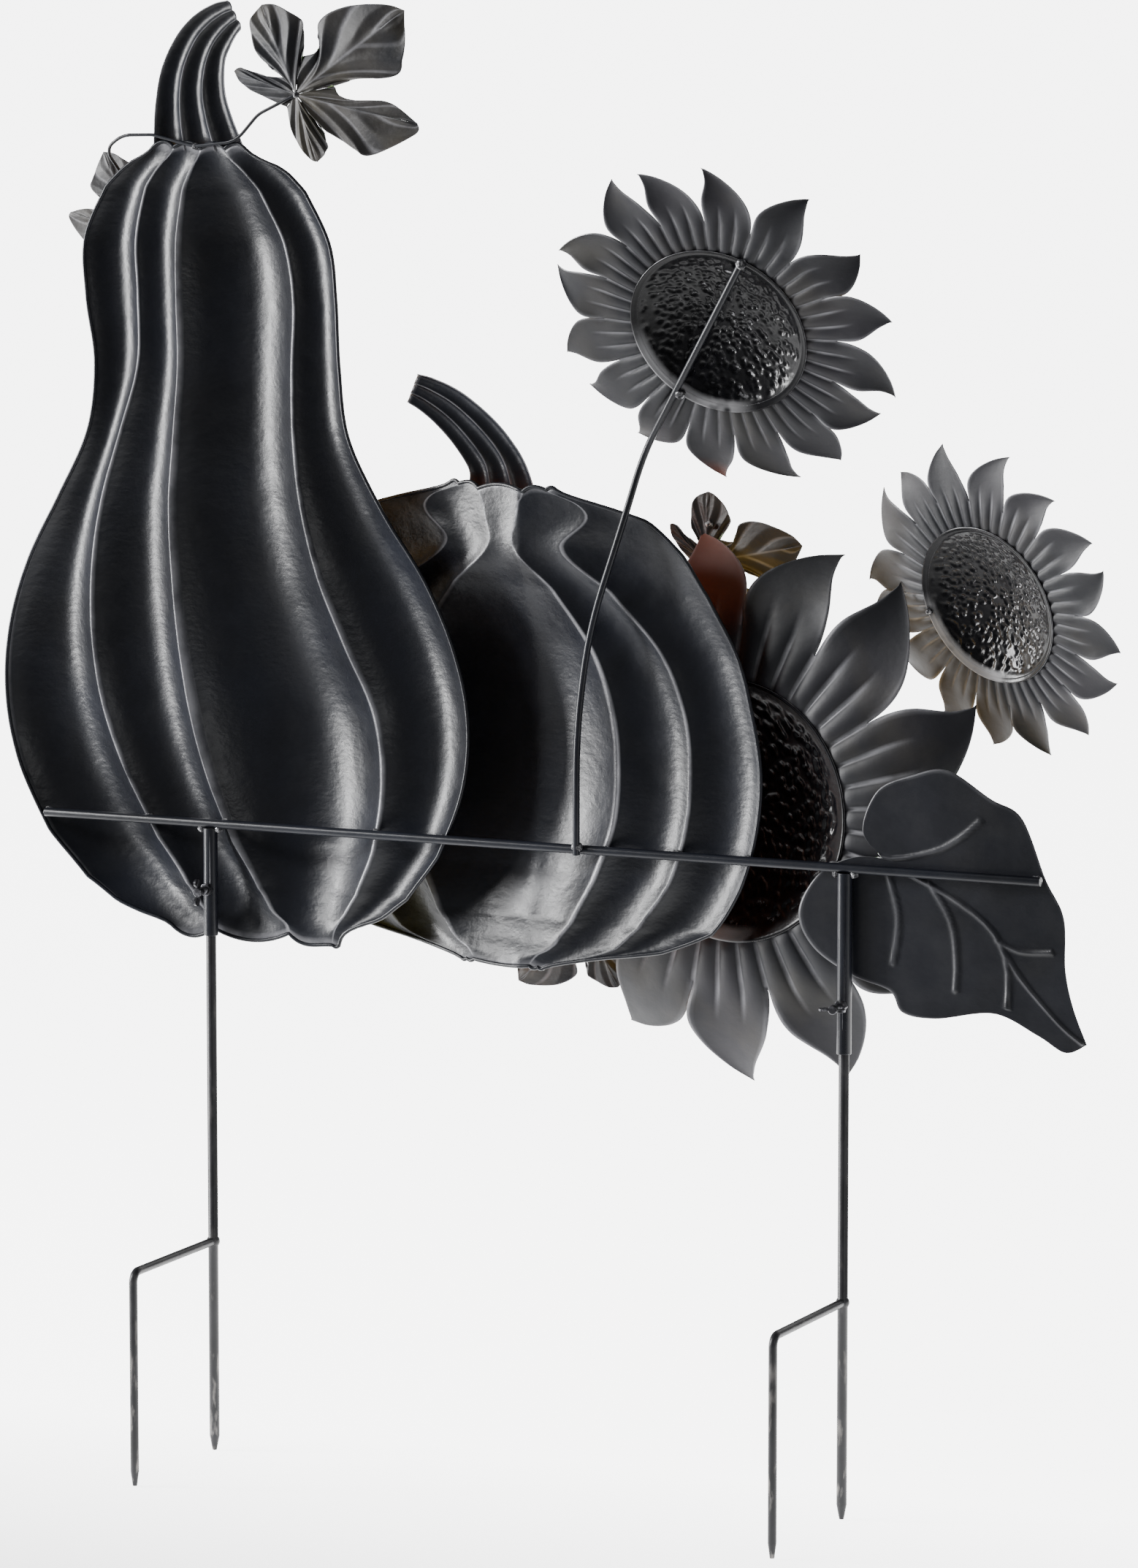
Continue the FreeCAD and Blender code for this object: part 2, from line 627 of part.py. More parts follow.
def low_petal_tip(number):
    """Front of one of the large flower's petals, just short of its tip, counted from zero."""
    inset = 2.5
    angle = LOW_FIRST + number * 360 / LOW_PETALS
    return on_flower(LOW_BLOOM, angle, dim("low_bloom_r") - inset, 0.95 * LOW_CUP + GAUGE)


UPPER_TIP = low_petal_tip(3)
LOWER_TIP = low_petal_tip(7)
RIGHT_TIP = low_petal_tip(1)
SIDE_BLOOM = facing(RIGHT_TIP + Vector(63.2, -21.7, 11.4), 20, 18)


def sunflowers():
    low_r, top_r, side_r = dim("low_dish_r"), dim("top_dish_r"), dim("side_dish_r")
    petal_ring("LowPetals", "large_sunflower_petals", LOW_BLOOM, LOW_PETALS, LOW_FIRST,
               dim("low_bloom_r"), low_r, LOW_CUP)
    seed_dish("LowDish", "large_sunflower_dish", LOW_BLOOM, low_r, 28)
    petal_ring("TopPetals", "upper_sunflower_petals", TOP_BLOOM, 16, 7.5, dim("top_bloom_r"),
               top_r, 12)
    seed_dish("TopDish", "upper_sunflower_dish", TOP_BLOOM, top_r, 20)
    petal_ring("SidePetals", "right_sunflower_petals", SIDE_BLOOM, 16, 10, dim("side_bloom_r"),
               side_r, 10)
    seed_dish("SideDish", "right_sunflower_dish", SIDE_BLOOM, side_r, 18)


STEM_R = dim("flower_stem_d") / 2
STEM_REAR = -(RIM_Y + STEM_R)
STEM_X = PUMPKIN_X + 80
STEM_WELD_TOP = on_flower(TOP_BLOOM, 63, dim("top_dish_r") + 2, -(GAUGE + STEM_R))
STEM_WELD_LOW = on_flower(TOP_BLOOM, -127, dim("top_bloom_r") - 6, -(GAUGE + STEM_R))


def upper_flower_stem():
    """Sprung rod from the back of the bar, past the pumpkin's ridges, to the upper flower."""
    route = [Vector(STEM_X, STEM_REAR, BAR_Z - RIM_Y), Vector(STEM_X, STEM_REAR, BAR_Z + 104),
             Vector(STEM_X + 12, STEM_REAR, BAR_Z + 192),
             Vector(STEM_X + 46, STEM_REAR, PUMPKIN_TOP - 20), STEM_WELD_LOW, STEM_WELD_TOP]
    sprung, tight = 700, 150
    return keep(computed("UpperFlowerStem", bent_rod(route, STEM_R, sprung, sprung, sprung, tight)),
                "upper_sunflower_stem")


# ---------------------------------------------------------------------------------------------
# Leaves and vine wire
# ---------------------------------------------------------------------------------------------

# Five lobes about the point where the veins meet; each runs from one notch to the next.
VINE_LEAF = [
    [(-11, 14), (-37, 32), (-47, 60), (-35, 77), (-22, 77), (0, 67), (7, 56), (5, 33)],
    [(5, 33), (21, 39), (20, 62), (44, 76), (81, 79), (101, 74), (101, 35), (93, 18), (56, 14),
     (35, 8)],
    [(35, 8), (48, -3), (87, -5), (114, -23), (111, -33), (71, -51), (56, -47), (34, -34),
     (23, -28)],
    [(23, -28), (29, -41), (27, -50), (19, -58), (11, -55), (-3, -37), (-10, -11)],
    [(-10, -11), (-39, 0), (-55, 9), (-62, 19), (-55, 22), (-33, 16), (-11, 14)],
]

# The broad leaf, from the notch at its stalk, over its top to the tip, and back below.
BROAD_LEAF = [
    [(0, 0), (-19, 22), (-6, 57), (25, 72), (58, 78), (97, 56), (125, 41), (146, -8), (163, -41),
     (165, -86), (172, -118), (184, -148)],
    [(184, -148), (165, -156), (140, -143), (101, -127), (49, -135), (18, -132), (6, -114),
     (-29, -103), (-65, -81), (-78, -51), (-60, -18), (-30, -2), (0, 0)],
]


def leaf_plate(name, label, lobes, centre, size=1.0, turn=0.0, mirrored=False):
    """Flat leaf in the display's plane; the turn is anticlockwise, seen from the back."""
    hand = -1 if mirrored else 1
    edges = []
    for lobe in lobes:
        curve = Part.BSplineCurve()
        curve.interpolate([Vector(hand * size * x, 0, size * z) for x, z in lobe])
        edges.append(curve.toShape())
    plate = Part.Face(Part.Wire(edges)).extrude(Vector(0, GAUGE, 0))
    place = Placement(centre, Rotation(Vector(0, -1, 0), turn))
    return keep(computed(name, plate, place), label)


VINE_R = dim("vine_d") / 2
VINE_Y = GOURD_TOP_REAR - VINE_R - 0.3
RIGHT_LEAF = Vector(GOURD[-1][5] + 51, GOURD_TOP_REAR, GOURD_TOP + 44)
LEFT_LEAF = Vector(GOURD[-1][1] - 24, RIM_Y + 26, GOURD_TOP - 82)
BROAD_LEAF_Y = TUBE_R + 1.0
BROAD_LEAF_RIGHT = 112.2
LEAF_STANDOFF = 4
BLOOM_LEAF = UPPER_TIP + Vector(-3.2, LEAF_STANDOFF, -29.1)
LOWER_LEAF = LOWER_TIP + Vector(28.2, LEAF_STANDOFF, 11.2)


def leaves():
    leaf_plate("RightLeaf", "gourd_right_leaf", VINE_LEAF, RIGHT_LEAF)
    leaf_plate("LeftLeaf", "gourd_left_leaf", VINE_LEAF, LEFT_LEAF, 0.65, -24, mirrored=True)
    leaf_plate("BroadLeaf", "broad_leaf", BROAD_LEAF,
               Vector(PUMPKIN_RIGHT + BROAD_LEAF_RIGHT, BROAD_LEAF_Y, BAR_Z + 10))
    leaf_plate("BloomLeaf", "large_sunflower_leaf", VINE_LEAF, BLOOM_LEAF, 0.72, -25)
    leaf_plate("LowerLeaf", "pumpkin_leaf", VINE_LEAF, LOWER_LEAF, 0.72, 182)


def vine_wire():
    """One wire from the left leaf, over the gourd's left rim, across the stem's foot to the right."""
    left, right = GOURD[-1][1], GOURD[-1][5]
    route = [LEFT_LEAF + Vector(0, -VINE_R, 0), LEFT_LEAF + Vector(-6, -VINE_R, 30),
             Vector(left - 42, 24, GOURD_TOP - 28), Vector(left - 50, 12, GOURD_TOP - 8),
             Vector(left - 30, VINE_Y, GOURD_TOP + 5), Vector(left, VINE_Y, GOURD_TOP + 6),
             Vector(-15, VINE_Y, GOURD_TOP - 3), Vector(right - 8, VINE_Y, GOURD_TOP + 2),
             Vector(right + 14, VINE_Y, GOURD_TOP + 26), RIGHT_LEAF + Vector(0, -VINE_R, 0)]
    return keep(computed("VineWire", bent_rod(route, VINE_R, 30)), "vine_wire")


# ---------------------------------------------------------------------------------------------
# Weld beads
# ---------------------------------------------------------------------------------------------

def bead_group(name, label, cell, places):
    """Round weld beads at the given points, their diameter read from a cell."""
    beads = []
    for index, point in enumerate(places):
        bead = primitive("Sphere", "%s%02d" % (name, index), Radius="Dims.%s / 2" % cell)
        bead.Placement = Placement(point, Rotation())
        beads.append(bead)
    return keep(fuse(name, beads), label)


def weld_beads():
    gourd_lines = between(GOURD, BAR_Z)[1:-1]
    pumpkin_lines = between(PUMPKIN, BAR_Z)[4:-1]
    bar_right = dim("bar_left") + dim("bar_length")
    first_line = max(gourd_lines[0], dim("bar_left") + 2)
    on_bar = [Vector(x, RIM_Y, BAR_Z) for x in [first_line] + gourd_lines[1:] + pumpkin_lines]
    on_bar.append(Vector(bar_right - 6, RIM_Y + 1, BAR_Z))
    dish_edge = on_flower(LOW_BLOOM, -20, dim("low_dish_r") + 2)
    on_bar.append(Vector(dish_edge.x, RIM_Y + 2.5, BAR_Z))
    on_bar.append(Vector(dish_edge.x, dish_edge.y - 2.5, BAR_Z))
    bead_group("BarBeads", "bar_weld_beads", "bead_d", on_bar)

    beside, under_bar = TUBE_R + 2, BAR_Z - RIM_Y - 1
    bead_group("TubeBeads", "tube_weld_beads", "small_bead_d",
               [Vector(stake + hand * beside, 0, under_bar)
                for stake in (0, dim("stake_spacing")) for hand in (-1, 1)])
    stem_crossing = on_flower(TOP_BLOOM, -127, dim("top_dish_r") + 2, -(GAUGE + STEM_R))
    bead_group("StemBeads", "stem_weld_beads", "bead_d",
               [Vector(STEM_X, (STEM_REAR - RIM_Y) / 2, BAR_Z + 3), STEM_WELD_TOP, stem_crossing])

    wire_on_gourd = Vector(-15, VINE_Y, GOURD_TOP - 3)
    wire_end = Vector(0, -VINE_R / 2, 0)
    bead_group("VineBeads", "vine_weld_beads", "small_bead_d",
               [LEFT_LEAF + wire_end, wire_on_gourd + Vector(0, VINE_R, 0), RIGHT_LEAF + wire_end])
    ahead = Vector(0, LEAF_STANDOFF / 2, 0)
    bead_group("PetalBeads", "petal_weld_beads", "small_bead_d",
               [UPPER_TIP + ahead, LOWER_TIP + ahead, RIGHT_TIP + ahead])


# ---------------------------------------------------------------------------------------------
# Build, check and write
# ---------------------------------------------------------------------------------------------

cross_bar()
for side, across, length, quarter in (("Left", "0", "Dims.left_tube_length", 90),
                                      ("Right", "Dims.stake_spacing", "Dims.right_tube_length", 0)):
    socket_tube(side, across, length)
    clamp_nut(side, across, length)
    wing_screw(side, across, length, quarter)
    stake_rod(side, across)
    stake_step(side, across)
gourd_body()
gourd_stem()
pumpkin_body()
pumpkin_stem()
sunflowers()
upper_flower_stem()
leaves()
vine_wire()
weld_beads()
doc.recompute()

for obj in doc.Objects:
    if "Invalid" in obj.State or "Error" in obj.State:
        raise RuntimeError("%s failed to build: %s" % (obj.Label, obj.State))
for obj in made:
    if obj.Shape.isNull() or not obj.Shape.isValid() or not obj.Shape.Solids:
        raise RuntimeError("%s has no valid solid" % obj.Label)

os.makedirs("parts", exist_ok=True)
for obj in made:
    obj.Shape.exportStep(os.path.join("parts", obj.Label + ".step"))
    print("%-26s %d solid(s) %9.0f mm3" % (obj.Label, len(obj.Shape.Solids), obj.Shape.Volume))
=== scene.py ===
"""Looks of an autumn garden stake display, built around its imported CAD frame.

A gourd, a pumpkin, three sunflowers and five leaves, pressed from thin sheet, stand in front of a
cross bar on two stakes. The backs are black enamel, the fronts are hand painted. Metres, +X to the
right seen from the back, +Y towards the painted front, +Z up.
"""
from __future__ import annotations

import json
import logging
import math
import random
from dataclasses import dataclass, field
from enum import Enum
from typing import Callable, Iterable, Sequence, Union

import bmesh
import bpy
from mathutils import Matrix, Vector, noise

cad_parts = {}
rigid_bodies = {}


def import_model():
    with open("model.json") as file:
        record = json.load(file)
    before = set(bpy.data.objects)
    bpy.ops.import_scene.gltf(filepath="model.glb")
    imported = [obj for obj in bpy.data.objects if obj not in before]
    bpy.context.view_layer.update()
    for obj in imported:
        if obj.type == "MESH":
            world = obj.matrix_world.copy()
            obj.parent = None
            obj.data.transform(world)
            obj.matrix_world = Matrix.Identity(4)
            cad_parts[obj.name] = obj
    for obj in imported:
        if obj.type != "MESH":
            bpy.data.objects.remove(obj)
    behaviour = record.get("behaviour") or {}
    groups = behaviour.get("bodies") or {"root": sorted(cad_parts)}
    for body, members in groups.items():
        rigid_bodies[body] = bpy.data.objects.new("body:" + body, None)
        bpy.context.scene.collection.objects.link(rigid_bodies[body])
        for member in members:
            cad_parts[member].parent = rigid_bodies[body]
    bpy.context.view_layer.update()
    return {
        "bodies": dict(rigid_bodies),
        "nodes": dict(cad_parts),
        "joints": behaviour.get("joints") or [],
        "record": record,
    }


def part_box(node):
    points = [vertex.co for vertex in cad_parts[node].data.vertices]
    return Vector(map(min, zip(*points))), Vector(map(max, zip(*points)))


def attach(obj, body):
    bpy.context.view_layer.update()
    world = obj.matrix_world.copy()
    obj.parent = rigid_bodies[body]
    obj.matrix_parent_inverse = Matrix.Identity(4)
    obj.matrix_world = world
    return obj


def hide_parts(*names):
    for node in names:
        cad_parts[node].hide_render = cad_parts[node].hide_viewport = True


MM = 0.001
GAUGE = 0.8 * MM
JOIN = 0.01 * MM
DARK_GLOSS = 0.2

Mesh = bmesh.types.BMesh
Object = bpy.types.Object
Material = bpy.types.Material
Colour = tuple[float, float, float]
Place = Callable[[float, float], Vector]
Marks = dict[str, Callable[[float, float], float]]
Value = Union[float, "Wire"]

log = logging.getLogger("garden_display")


# Number helpers

def smooth(low: float, high: float, value: float) -> float:
    """Ease from 0 at low to 1 at high."""
    share = min(max((value - low) / (high - low), 0.0), 1.0)
    return share * share * (3 - 2 * share)


def eased(points: Sequence[Sequence[float]], share: float) -> list[float]:
    """Point of a smooth line through the given points.

    Args:
        points: The points, each a row of numbers of the same length.
        share: Where on the line, from 0 at its first point to 1 at its last.

    Returns:
        The row of numbers at that place.
    """
    spans = len(points) - 1
    place = min(max(share, 0.0), 1.0) * spans
    index = min(int(place), spans - 1)
    t = place - index
    before, start = points[max(index - 1, 0)], points[index]
    end, after = points[index + 1], points[min(index + 2, spans)]
    return [0.5 * (2 * b + (c - a) * t + (2 * a - 5 * b + 4 * c - d) * t * t
                   + (3 * b - a - 3 * c + d) * t ** 3)
            for a, b, c, d in zip(before, start, end, after)]


def at_height(rows: Sequence[Sequence[float]], height: float) -> list[float]:
    """Row of a station list at a height, eased; each row starts with its height."""
    spans = len(rows) - 1
    index = next((i for i in range(spans) if height <= rows[i + 1][0]), spans - 1)
    step = rows[index + 1][0] - rows[index][0]
    return eased(rows, (index + (height - rows[index][0]) / step) / spans)


def from_line(share: float, parts: int) -> float:
    """How far a share is from the nearest line that splits the whole in equal parts."""
    past = (share * parts) % 1.0
    return min(past, 1 - past)


def extent(spots: Iterable[Vector]) -> tuple[Vector, Vector]:
    """Lowest and highest corner of some points."""
    axes = list(zip(*spots))
    return Vector([min(axis) for axis in axes]), Vector([max(axis) for axis in axes])


def ripple(point: Vector, scale: float, amount: float) -> float:
    """Slight unevenness of hand-pressed sheet at a point."""
    return amount * noise.noise(point * scale)


# Shader graph

class Wire:
    """One output socket; arithmetic on it adds Math nodes."""

    def __init__(self, graph: "Graph", socket: bpy.types.NodeSocket) -> None:
        """Keep the graph and the socket."""
        self.graph = graph
        self.socket = socket

    def maths(self, operation: str, *values: Value, clamp: bool = False) -> "Wire":
        """Math node with this socket first."""
        settings = {"operation": operation, "use_clamp": clamp}
        return self.graph.node("ShaderNodeMath", settings, dict(enumerate((self, *values))))

    def __add__(self, other: Value) -> "Wire":
        """Sum."""
        return self.maths("ADD", other)

    def __mul__(self, other: Value) -> "Wire":
        """Product."""
        return self.maths("MULTIPLY", other)

    def __sub__(self, other: Value) -> "Wire":
        """Difference."""
        return self.maths("SUBTRACT", other)

    def clamped(self) -> "Wire":
        """The same value kept between 0 and 1."""
        return self.maths("ADD", 0.0, clamp=True)


class Graph:
    """Node tree of one material that ends in a Principled shader."""

    def __init__(self, name: str) -> None:
        """Make the material with only its shader and output."""
        self.material = bpy.data.materials.new(name)
        self.material.use_nodes = True
        self.tree = self.material.node_tree
        self.shader = self.tree.nodes["Principled BSDF"]

    def node(self, kind: str, settings: dict | None = None, inputs: dict | None = None,
             output: int | str = 0) -> Wire:
        """Add a node.

        Args:
            kind: The node's type name.
            settings: Properties set first; "stops" holds a colour ramp's positions and colours.
            inputs: Values or wires by socket name or number.
            output: Which output to return.

        Returns:
            The chosen output socket.
        """
        made = self.tree.nodes.new(kind)
        for key, value in (settings or {}).items():
            if key == "stops":
                ramp = made.color_ramp
                while len(ramp.elements) < len(value):
                    ramp.elements.new(0.5)
                for element, (position, colour) in zip(ramp.elements, value):
                    element.position = position
                    element.color = (*colour, 1.0)
            else:
                setattr(made, key, value)
        for key, value in (inputs or {}).items():
            self.feed(made.inputs[key], value)
        return Wire(self, made.outputs[output])

    def feed(self, socket: bpy.types.NodeSocket, value: object) -> None:
        """Set a socket's number or colour, or link a wire to it."""
        if isinstance(value, Wire):
            self.tree.links.new(value.socket, socket)
        elif isinstance(value, tuple) and socket.type == "RGBA":
            socket.default_value = (*value, 1.0)
        else:
            socket.default_value = value

    def place(self) -> Wire:
        """Object coordinates."""
        return self.node("ShaderNodeTexCoord", output="Object")

    def mark(self, name: str) -> Wire:
        """Named value stored on the mesh."""
        return self.node("ShaderNodeAttribute", {"attribute_name": name}, output="Fac")

    def cloud(self, scale: float, detail: float = 3.0, stretch: Vector | None = None) -> Wire:
        """Noise of the given scale in repeats per metre, stretched along an axis if asked."""
        place = self.place()
        if stretch is not None:
            place = self.node("ShaderNodeMapping", inputs={"Vector": place, "Scale": stretch})
        return self.node("ShaderNodeTexNoise",
                         inputs={"Vector": place, "Scale": scale, "Detail": detail})

    def ramp(self, factor: Wire, *stops: tuple[float, Colour]) -> Wire:
        """Colour ramp."""
        return self.node("ShaderNodeValToRGB", {"stops": stops}, {0: factor})

    def step(self, value: Wire, low: float, high: float) -> Wire:
        """Value mapped from low..high to 0..1, kept inside."""
        return self.node("ShaderNodeMapRange", {"clamp": True},
                         {"Value": value, "From Min": low, "From Max": high})

    def mix(self, factor: Value, first: object, second: object) -> Wire:
        """Colour between two colours."""
        colour_a, colour_b, result = 6, 7, 2
        return self.node("ShaderNodeMix", {"data_type": "RGBA"},
                         {0: factor, colour_a: first, colour_b: second}, result)

    def relief(self, height: Wire, strength: float, depth: float) -> None:
        """Bump from a height, its depth in metres."""
        normal = self.node("ShaderNodeBump",
                           inputs={"Height": height, "Strength": strength, "Distance": depth})
        self.feed(self.shader.inputs["Normal"], normal)

    def done(self, **sockets: object) -> Material:
        """Feed the shader's sockets, named with underscores for spaces, and return the material."""
        for name, value in sockets.items():
            self.feed(self.shader.inputs[name.replace("_", " ")], value)
        return self.material


# Finishes

@dataclass(frozen=True)
class RearEnamel:
    """Satin black enamel of the backs, bar and rods, paler on crests and rims from rub wear and
    painted sheen.
    """

    name: str
    black: Colour = (0.0030, 0.0034, 0.0050)
    haze: Colour = (0.0075, 0.0088, 0.0135)
    overspray: Colour = (0.030, 0.025, 0.013)
    front_paint: Colour = (0.055, 0.010, 0.002)
    # bare is the crests' pale colour, for rubbed-through metal and for painted highlight; rubbed
    # sets how much shows.
    bare: Colour = (0.22, 0.22, 0.235)
    spray: float = 0.0
    rubbed: float = 0.7
    rough: float = 0.28
    hammer: float = 0.42

    def build(self) -> Material:
        """Enamel with drifting haze, orange peel, crests paled by rub wear and painted sheen, and
        some overspray.
        """
        g = Graph(self.name)
        drift = g.cloud(7.0, 4.0)
        mottle = g.cloud(60.0, 3.0)
        marks = g.cloud(150.0, 2.0, Vector((0.75, 1.0, 1.5)))
        peel = g.cloud(420.0, 2.0)
        crest = g.mark("crest")
        colour = g.mix(g.step(drift, 0.42, 0.75) * 0.7, self.black, self.haze)
        sprayed = (g.step(g.cloud(16.0, 4.0), 0.5, 0.72) * self.spray).clamped()
        colour = g.mix(sprayed, colour, self.overspray)
        if self.spray:
            drifted = (g.mark("spray") * (drift * 0.9 + 0.45)).clamped()
            colour = g.mix(drifted, colour, self.front_paint)
        # Crests, veins and rims go pale and metallic: partly rubbed-through wear, partly a painted
        # highlight standing for their sheen.
        wear_and_painted_sheen = (crest * (g.step(mottle, 0.3, 0.7) * 0.5 + g.step(drift, 0.35, 0.6) * 0.6)
                * self.rubbed).clamped()
        colour = g.mix(wear_and_painted_sheen, colour, self.bare)
        rough = (mottle * 0.16 + self.rough - wear_and_painted_sheen * 0.1).clamped()
        g.relief(peel * 0.12 + marks * 0.5 + mottle * 0.9, self.hammer, 1.4 * MM)
        return g.done(Base_Color=colour, Roughness=rough, Metallic=wear_and_painted_sheen * 0.5,
                      Specular_IOR_Level=DARK_GLOSS)


@dataclass(frozen=True)
class HammeredEnamel:
    """Gloss black enamel pooled in a hammered dish, with bright scuffed high points."""

    name: str
    rough: float = 0.2
    black: Colour = (0.0015, 0.0015, 0.002)
    bare: Colour = (0.45, 0.45, 0.47)
    # Grey of a painted highlight on the lower left of the rim band, standing for a lamp's
    # reflection there.
    band_highlight: Colour = (0.13, 0.13, 0.135)

    def build(self) -> Material:
        """Gloss black with scuffed specks on the bumps and a painted highlight on the smooth rim
        band.
        """
        g = Graph(self.name)
        bump = g.mark("bump")
        band = g.mark("band")
        speck = g.step(g.cloud(210.0, 2.0), 0.55, 0.7)
        patch = g.step(g.cloud(13.0, 3.0), 0.48, 0.68)
        scuff = (g.step(bump, 0.55, 0.95) * speck * patch).clamped()
        # Painted highlight: the band's lower left is lightened as if a lamp were reflected in it.
        rubbed = (band * g.step(g.cloud(40.0, 2.0), 0.3, 0.42) * 0.9).clamped()
        colour = g.mix(scuff * 0.75, self.black, self.bare)
        colour = g.mix(rubbed, colour, self.band_highlight)
        rough = (g.cloud(90.0) * 0.2 + self.rough - 0.08 + rubbed * 0.25).clamped()
        g.relief(g.cloud(260.0, 3.0), 0.2, 0.6 * MM)
        return g.done(Base_Color=colour, Roughness=rough, Metallic=scuff * 0.6,
                      Specular_IOR_Level=0.5 * DARK_GLOSS)


@dataclass(frozen=True)
class FrontPaint:
    """Hand-painted enamel: a body colour, a deeper one in folds, and a third towards the end."""

    name: str
    body: Colour
    deep: Colour
    end: Colour
    reach: float

    def build(self) -> Material:
        """Brushed coats with streaks along the piece and light wear on the crests."""
        g = Graph(self.name)
        along_brush = Vector((1.0, 1.0, 0.12))
        strokes = g.cloud(120.0, 4.0, along_brush)
        blotch = g.cloud(14.0, 4.0)
        fold = g.mark("fold")
        along = g.mark("along")
        deep = (fold * 0.8 + strokes * 0.5 - 0.3).clamped()
        colour = g.mix(deep, self.body, self.deep)
        end = (g.step(along + strokes * 0.25 - 0.12, self.reach, 1.0) * 0.9).clamped()
        colour = g.mix(end, colour, self.end)
        dusk = g.step(blotch, 0.45, 0.8) * 0.25
        colour = g.mix(dusk, colour, (0.09, 0.05, 0.02))
        chip = (g.step(g.cloud(75.0, 5.0), 0.66, 0.7) * g.mark("crest")).clamped()
        colour = g.mix(chip, colour, (0.05, 0.05, 0.055))
        g.relief(strokes * 0.7 + blotch * 0.3, 0.3, 0.5 * MM)
        return g.done(Base_Color=colour, Roughness=strokes * 0.2 + 0.3, Coat_Weight=0.15,
                      Coat_Roughness=0.25)


@dataclass(frozen=True)
class SeedPaint:
    """Painted front of a seed dish: dark seeds with a golden ring and ochre tips."""

    name: str

    def build(self) -> Material:
        """Brown seeds, ochre on the bumps, darker heart."""
        g = Graph(self.name)
        bump = g.step(g.mark("bump"), 0.4, 0.9)
        out = g.mark("along")
        ground = g.ramp(out, (0.0, (0.03, 0.014, 0.006)), (0.45, (0.06, 0.026, 0.009)),
                        (0.72, (0.16, 0.065, 0.012)), (1.0, (0.05, 0.02, 0.008)))
        tips = g.mix(g.step(out, 0.3, 0.9), (0.13, 0.07, 0.02), (0.52, 0.27, 0.035))
        colour = g.mix(bump * g.step(g.cloud(60.0), 0.35, 0.6), ground, tips)
        g.relief(g.cloud(240.0, 3.0), 0.3, 0.6 * MM)
        return g.done(Base_Color=colour, Roughness=g.cloud(80.0) * 0.25 + 0.32)


@dataclass(frozen=True)
class StakePaint:
    """Satin black powder coat of the stakes, scuffed by soil towards the spikes."""

    name: str
    soil_top: float = 0.0
    soil_low: float = -0.19

    def build(self) -> Material:
        """Powder coat whose scuffs thicken below ground level."""
        g = Graph(self.name)
        split = g.node("ShaderNodeSeparateXYZ", inputs={0: g.place()}, output="Z")
        buried = g.step(split * -1.0, -self.soil_top, -self.soil_low)
        grit = g.cloud(140.0, 4.0, Vector((1.0, 1.0, 0.3)))
        scuff = (g.step(grit, 0.54, 0.72) * (buried * 0.8 + 0.12)).clamped()
        colour = g.mix(g.step(g.cloud(25.0), 0.4, 0.7), (0.007, 0.007, 0.008),
                       (0.014, 0.014, 0.016))
        colour = g.mix(scuff, colour, (0.2, 0.19, 0.18))
        g.relief(g.cloud(420.0, 2.0), 0.22, 0.4 * MM)
        return g.done(Base_Color=colour, Roughness=g.cloud(60.0) * 0.15 + 0.32 + scuff * 0.15,
                      Metallic=scuff * 0.7, Specular_IOR_Level=DARK_GLOSS)


@dataclass(frozen=True)
class RubbedCoat:
    """Dark coat with paler rubbed spots.

    The spots are noise of some repeats per metre, between two levels. The lumps are a bump's
    repeats, detail, strength and depth. A plated coat is equally metallic all over.
    """

    name: str
    spots: float
    levels: tuple[float, float]
    shown: float
    dark: Colour
    pale: Colour
    rough: float
    smoothed: float
    metal: float
    lumps: tuple[float, ...] = ()
    plated: bool = False
    gloss: float = 0.5

    def build(self) -> Material:
        """Coat broken by rubbed spots, with its lumps as bump."""
        g = Graph(self.name)
        rub = g.step(g.cloud(self.spots, 4.0), *self.levels)
        colour = g.mix(rub * self.shown, self.dark, self.pale)
        if self.lumps:
            scale, detail, strength, depth = self.lumps
            g.relief(g.cloud(scale, detail), strength, depth)
        return g.done(Base_Color=colour, Roughness=rub * -self.smoothed + self.rough,
                      Metallic=self.metal if self.plated else rub * self.metal,
                      Specular_IOR_Level=self.gloss)


class Paint(Enum):
    """Front colours: body, folds, far end, and where the far end's colour starts."""

    GOURD = ((0.80, 0.42, 0.055), (0.42, 0.13, 0.02), (0.13, 0.20, 0.035), 0.74)
    PUMPKIN = ((0.78, 0.20, 0.02), (0.34, 0.055, 0.01), (0.62, 0.25, 0.03), 0.85)
    STEM = ((0.19, 0.17, 0.055), (0.07, 0.06, 0.02), (0.27, 0.2, 0.09), 0.7)
    PETAL = ((0.88, 0.50, 0.03), (0.55, 0.14, 0.015), (0.93, 0.66, 0.10), 0.6)
    LEAF = ((0.10, 0.20, 0.035), (0.035, 0.085, 0.018), (0.36, 0.30, 0.05), 0.72)

    def finish(self) -> FrontPaint:
        """The paint as a finish."""
        body, deep, end, reach = self.value
        return FrontPaint(self.name.lower() + "_front_paint", body, deep, end, reach)


class Palette:
    """Materials of the display, each built once, when first asked for."""

    def __init__(self) -> None:
        """Start empty."""
        self.made: dict[str, Material] = {}

    def get(self, finish: object) -> Material:
        """Material of a finish."""
        if finish.name not in self.made:
            self.made[finish.name] = finish.build()
        return self.made[finish.name]


